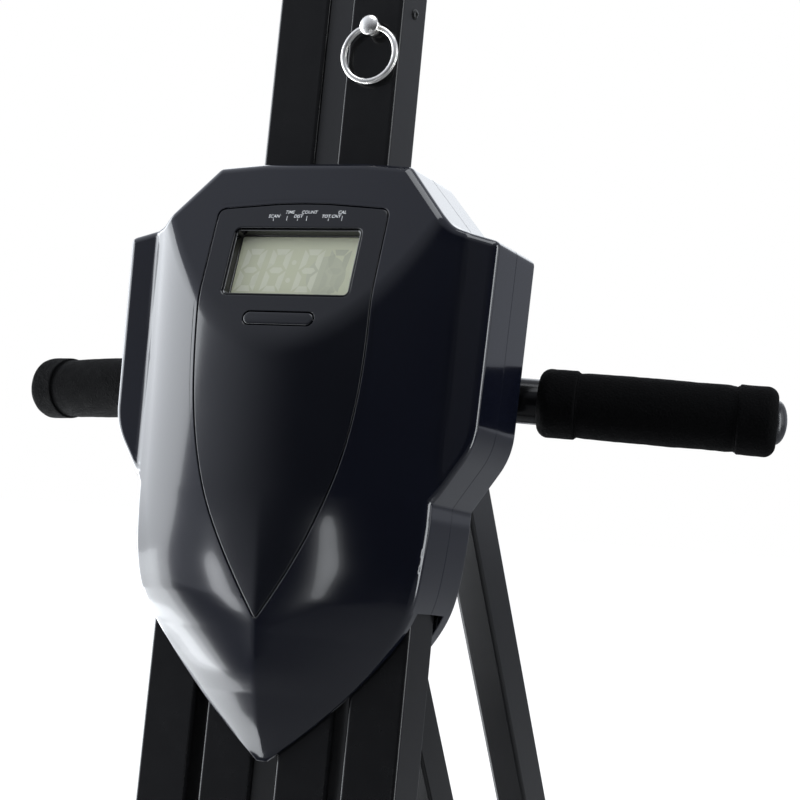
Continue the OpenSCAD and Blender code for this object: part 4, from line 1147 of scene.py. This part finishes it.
# %% Sleeve buttons
SLEEVE_BUTTON_W = 208.0
stud_profile = [(0.3, 0.35), (1.1, 0.35), (1.25, 1.0), (1.5, 1.2), (2.2, 1.05), (2.7, 0.6),
                (2.9, 0.1), (2.9, -0.2)]
for label, side in SIDES:
    at = mast(side * (POLE_U + TUBE / 2), MID_V, SLEEVE_BUTTON_W + raised(side))
    rows, faces = turned(stud_profile[::-1], at, Vector((side, 0.0, 0.0)), 36)
    add_piece(f"{label}_sleeve_button", rows, faces, "screw", f"{label}_pole", smooth=40,
              replaced=(f"{label}_sleeve_screw",))

# %% [markdown]
# ## Rolled edges on moulded and machined pieces
# Nothing that comes out of a mould or a press has a truly sharp edge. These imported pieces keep
# their shape, and only their hard edges are rolled over a little so that they catch the light.

# %% Roll the edges
ROLLED = {"front_feet": 2.0, "rear_feet": 2.0, "bump_stops": 1.2, "lower_guide": 0.8,
          "upper_guide": 0.6, "lower_guide_straps": 0.5, "head_bracket": 0.5,
          "pulley_guard": 0.7, "fold_knob": 0.9, "cover_screws": 0.5, "pivot_bolt": 0.5}
for label, side in SIDES:
    ROLLED.update({f"{label}_pedal": 1.1, f"{label}_pedal_arm": 0.5, f"{label}_pedal_bolts": 0.5,
                   f"{label}_belt_clamp": 0.6, f"{label}_sleeve": 0.5})
for name, width in ROLLED.items():
    softened(name, width)
print(len(ROLLED), "pieces with rolled edges")

# %% [markdown]
# ## Belt
# One toothed belt runs over the pulley, with a pole clamped to each end. Each hanging strand is
# a finely divided strip from the pulley down to its pole's clamp, and it rides no body. The teeth
# on its inner side are short cross ribs.

# %% Make the strands
PULLEY_W, BELT_T, BELT_V, BELT_B, CLAMP_W = 28.0, 2.0, 39.5, 8.0, -96.0
TOOTH, TOOTH_DEEP = 4.0, 0.45
for label, side in SIDES:
    low = CLAMP_W if side < 0 else CLAMP_W - STROKE
    loops = []
    for w in np.arange(low, PULLEY_W + 0.01, TOOTH / 4):
        phase = ((w - low) / TOOTH) % 1.0
        inner = POLE_U - BELT_T / 2 + (TOOTH_DEEP if 0.25 <= phase < 0.75 else 0.0)
        outer = POLE_U + BELT_T / 2
        loops.append([mast(side * u, v, w) for u, v in
                      ((inner, BELT_V), (outer, BELT_V), (outer, BELT_V + BELT_B),
                       (inner, BELT_V + BELT_B))])
    rows, faces = stack(loops)
    mesh = bpy.data.meshes.new(f"{label}_belt_run")
    mesh.from_pydata([tuple(p) for p in rows], [], faces)
    work = bmesh.new()
    work.from_mesh(mesh)
    bmesh.ops.recalc_face_normals(work, faces=work.faces)
    work.to_mesh(mesh)
    work.free()
    mesh.materials.append(FINISH["belt"])
    strand = placed(f"{label}_belt_run", mesh)
    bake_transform(strand)
    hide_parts(f"{label}_strand")
    print(strand.name, len(loops), "rings")

# %% [markdown]
# ## Studio
# A plain pale floor and soft light. Gloss needs something to reflect, so large soft panels stand
# on all sides, most of them on the left and one flat on the floor, and two small ones in front
# make the glints. The room around them is only moderately bright.

# %% Floor
def make_floor():
    """Plain grey, with light of its own for the camera only, so that it is seen pale and even."""
    made, tree, shader = new_material("studio_floor", {
        "Base Color": (0.28, 0.28, 0.28, 1.0), "Roughness": 0.95, "Specular IOR Level": 0.1})
    plain = shader.outputs[0]
    lit = node(tree, "Emission", {"Strength": 0.86})
    both = node(tree, "AddShader", {0: plain, 1: lit.outputs[0]})
    seen = node(tree, "LightPath").outputs["Is Camera Ray"]
    choose = node(tree, "MixShader", {0: seen, 1: plain, 2: both.outputs[0]})
    feed(tree, tree.nodes["Material Output"].inputs["Surface"], choose.outputs[0])
    return made


FLOOR_HALF = 5.0
floor_mesh = bpy.data.meshes.new("floor")
floor_mesh.from_pydata([(-FLOOR_HALF, -FLOOR_HALF, 0), (FLOOR_HALF, -FLOOR_HALF, 0),
                        (FLOOR_HALF, FLOOR_HALF, 0), (-FLOOR_HALF, FLOOR_HALF, 0)],
                       [], [(0, 1, 2, 3)])
floor_mesh.materials.append(make_floor())
floor = placed("floor", floor_mesh)


# %% Soft panels
COOL = (0.93, 0.965, 1.0)


def soft_panel(name, place, aim, size, power, shape="RECTANGLE"):
    """An area light at place that faces aim, in metres and watts."""
    light = bpy.data.lights.new(name, "AREA")
    light.shape, light.size, light.size_y = shape, size[0], size[1]
    light.energy, light.color = power, COOL
    holder = placed(name, light)
    holder.location = place
    holder.rotation_mode = "QUATERNION"
    holder.rotation_quaternion = (Vector(aim) - Vector(place)).to_track_quat("-Z", "Y")


HUB = (0.0, -0.1, 1.05)
soft_panel("left_panel", (-2.0, -0.1, 1.06), (0.0, -0.1, 1.06), (2.3, 2.1), 66)
soft_panel("low_left_panel", (-1.9, 0.1, 0.32), (0.0, -0.1, 0.8), (2.4, 0.9), 22)
soft_panel("floor_panel", (-1.35, 0.05, 0.04), (-1.35, 0.05, 1.0), (1.9, 2.2), 56)
soft_panel("strip_panel", (2.2, 0.1, 1.1), HUB, (0.7, 2.4), 36)
soft_panel("left_glint", (-1.58, -1.63, 0.72), HUB, (0.2, 0.2), 0.7, shape="ELLIPSE")
soft_panel("front_glint", (-0.2, -2.3, 0.86), HUB, (0.2, 0.4), 0.9, shape="ELLIPSE")
soft_panel("right_panel", (2.4, 1.2, 1.4), HUB, (1.2, 2.0), 7)
soft_panel("top_panel", (0.2, -0.2, 3.4), HUB, (2.2, 1.4), 30)
soft_panel("back_panel", (-0.6, 2.8, 2.2), HUB, (2.6, 1.8), 22)

# %% Room
world = bpy.data.worlds.new("studio")
bpy.context.scene.world = world
world.use_nodes = True
room = world.node_tree
sight = node(room, "SeparateXYZ", {0: node(room, "TexCoord").outputs["Generated"]})
DIMMEST, ROOM_TINT, WHITE = 0.035, (0.92, 0.965, 1.07), (1.0, 1.0, 1.0, 1.0)


def glow(axis, low, high, value):
    """Brightness that rises smoothly from low to high along one axis of the room."""
    return node(room, "MapRange", {"From Min": low, "From Max": high, "To Max": value,
                                   "Value": sight.outputs[axis]},
                interpolation_type="SMOOTHSTEP").outputs["Result"]


bright = glow("Z", 0.2, 0.85, 0.44)
for more in (glow("Y", 0.1, 0.85, 0.34), glow("X", -0.3, -0.95, 0.85), DIMMEST):
    bright = math_node(room, "ADD", bright, more)
tinted = node(room, "VectorMath", {0: ROOM_TINT, "Scale": bright}, operation="SCALE")
seen = node(room, "LightPath").outputs["Is Camera Ray"]
walls = mixed(room, "RGBA", seen, tinted.outputs["Vector"], WHITE)
feed(room, room.nodes["Background"].inputs["Color"], walls)
bpy.context.scene.view_settings.view_transform = "Standard"
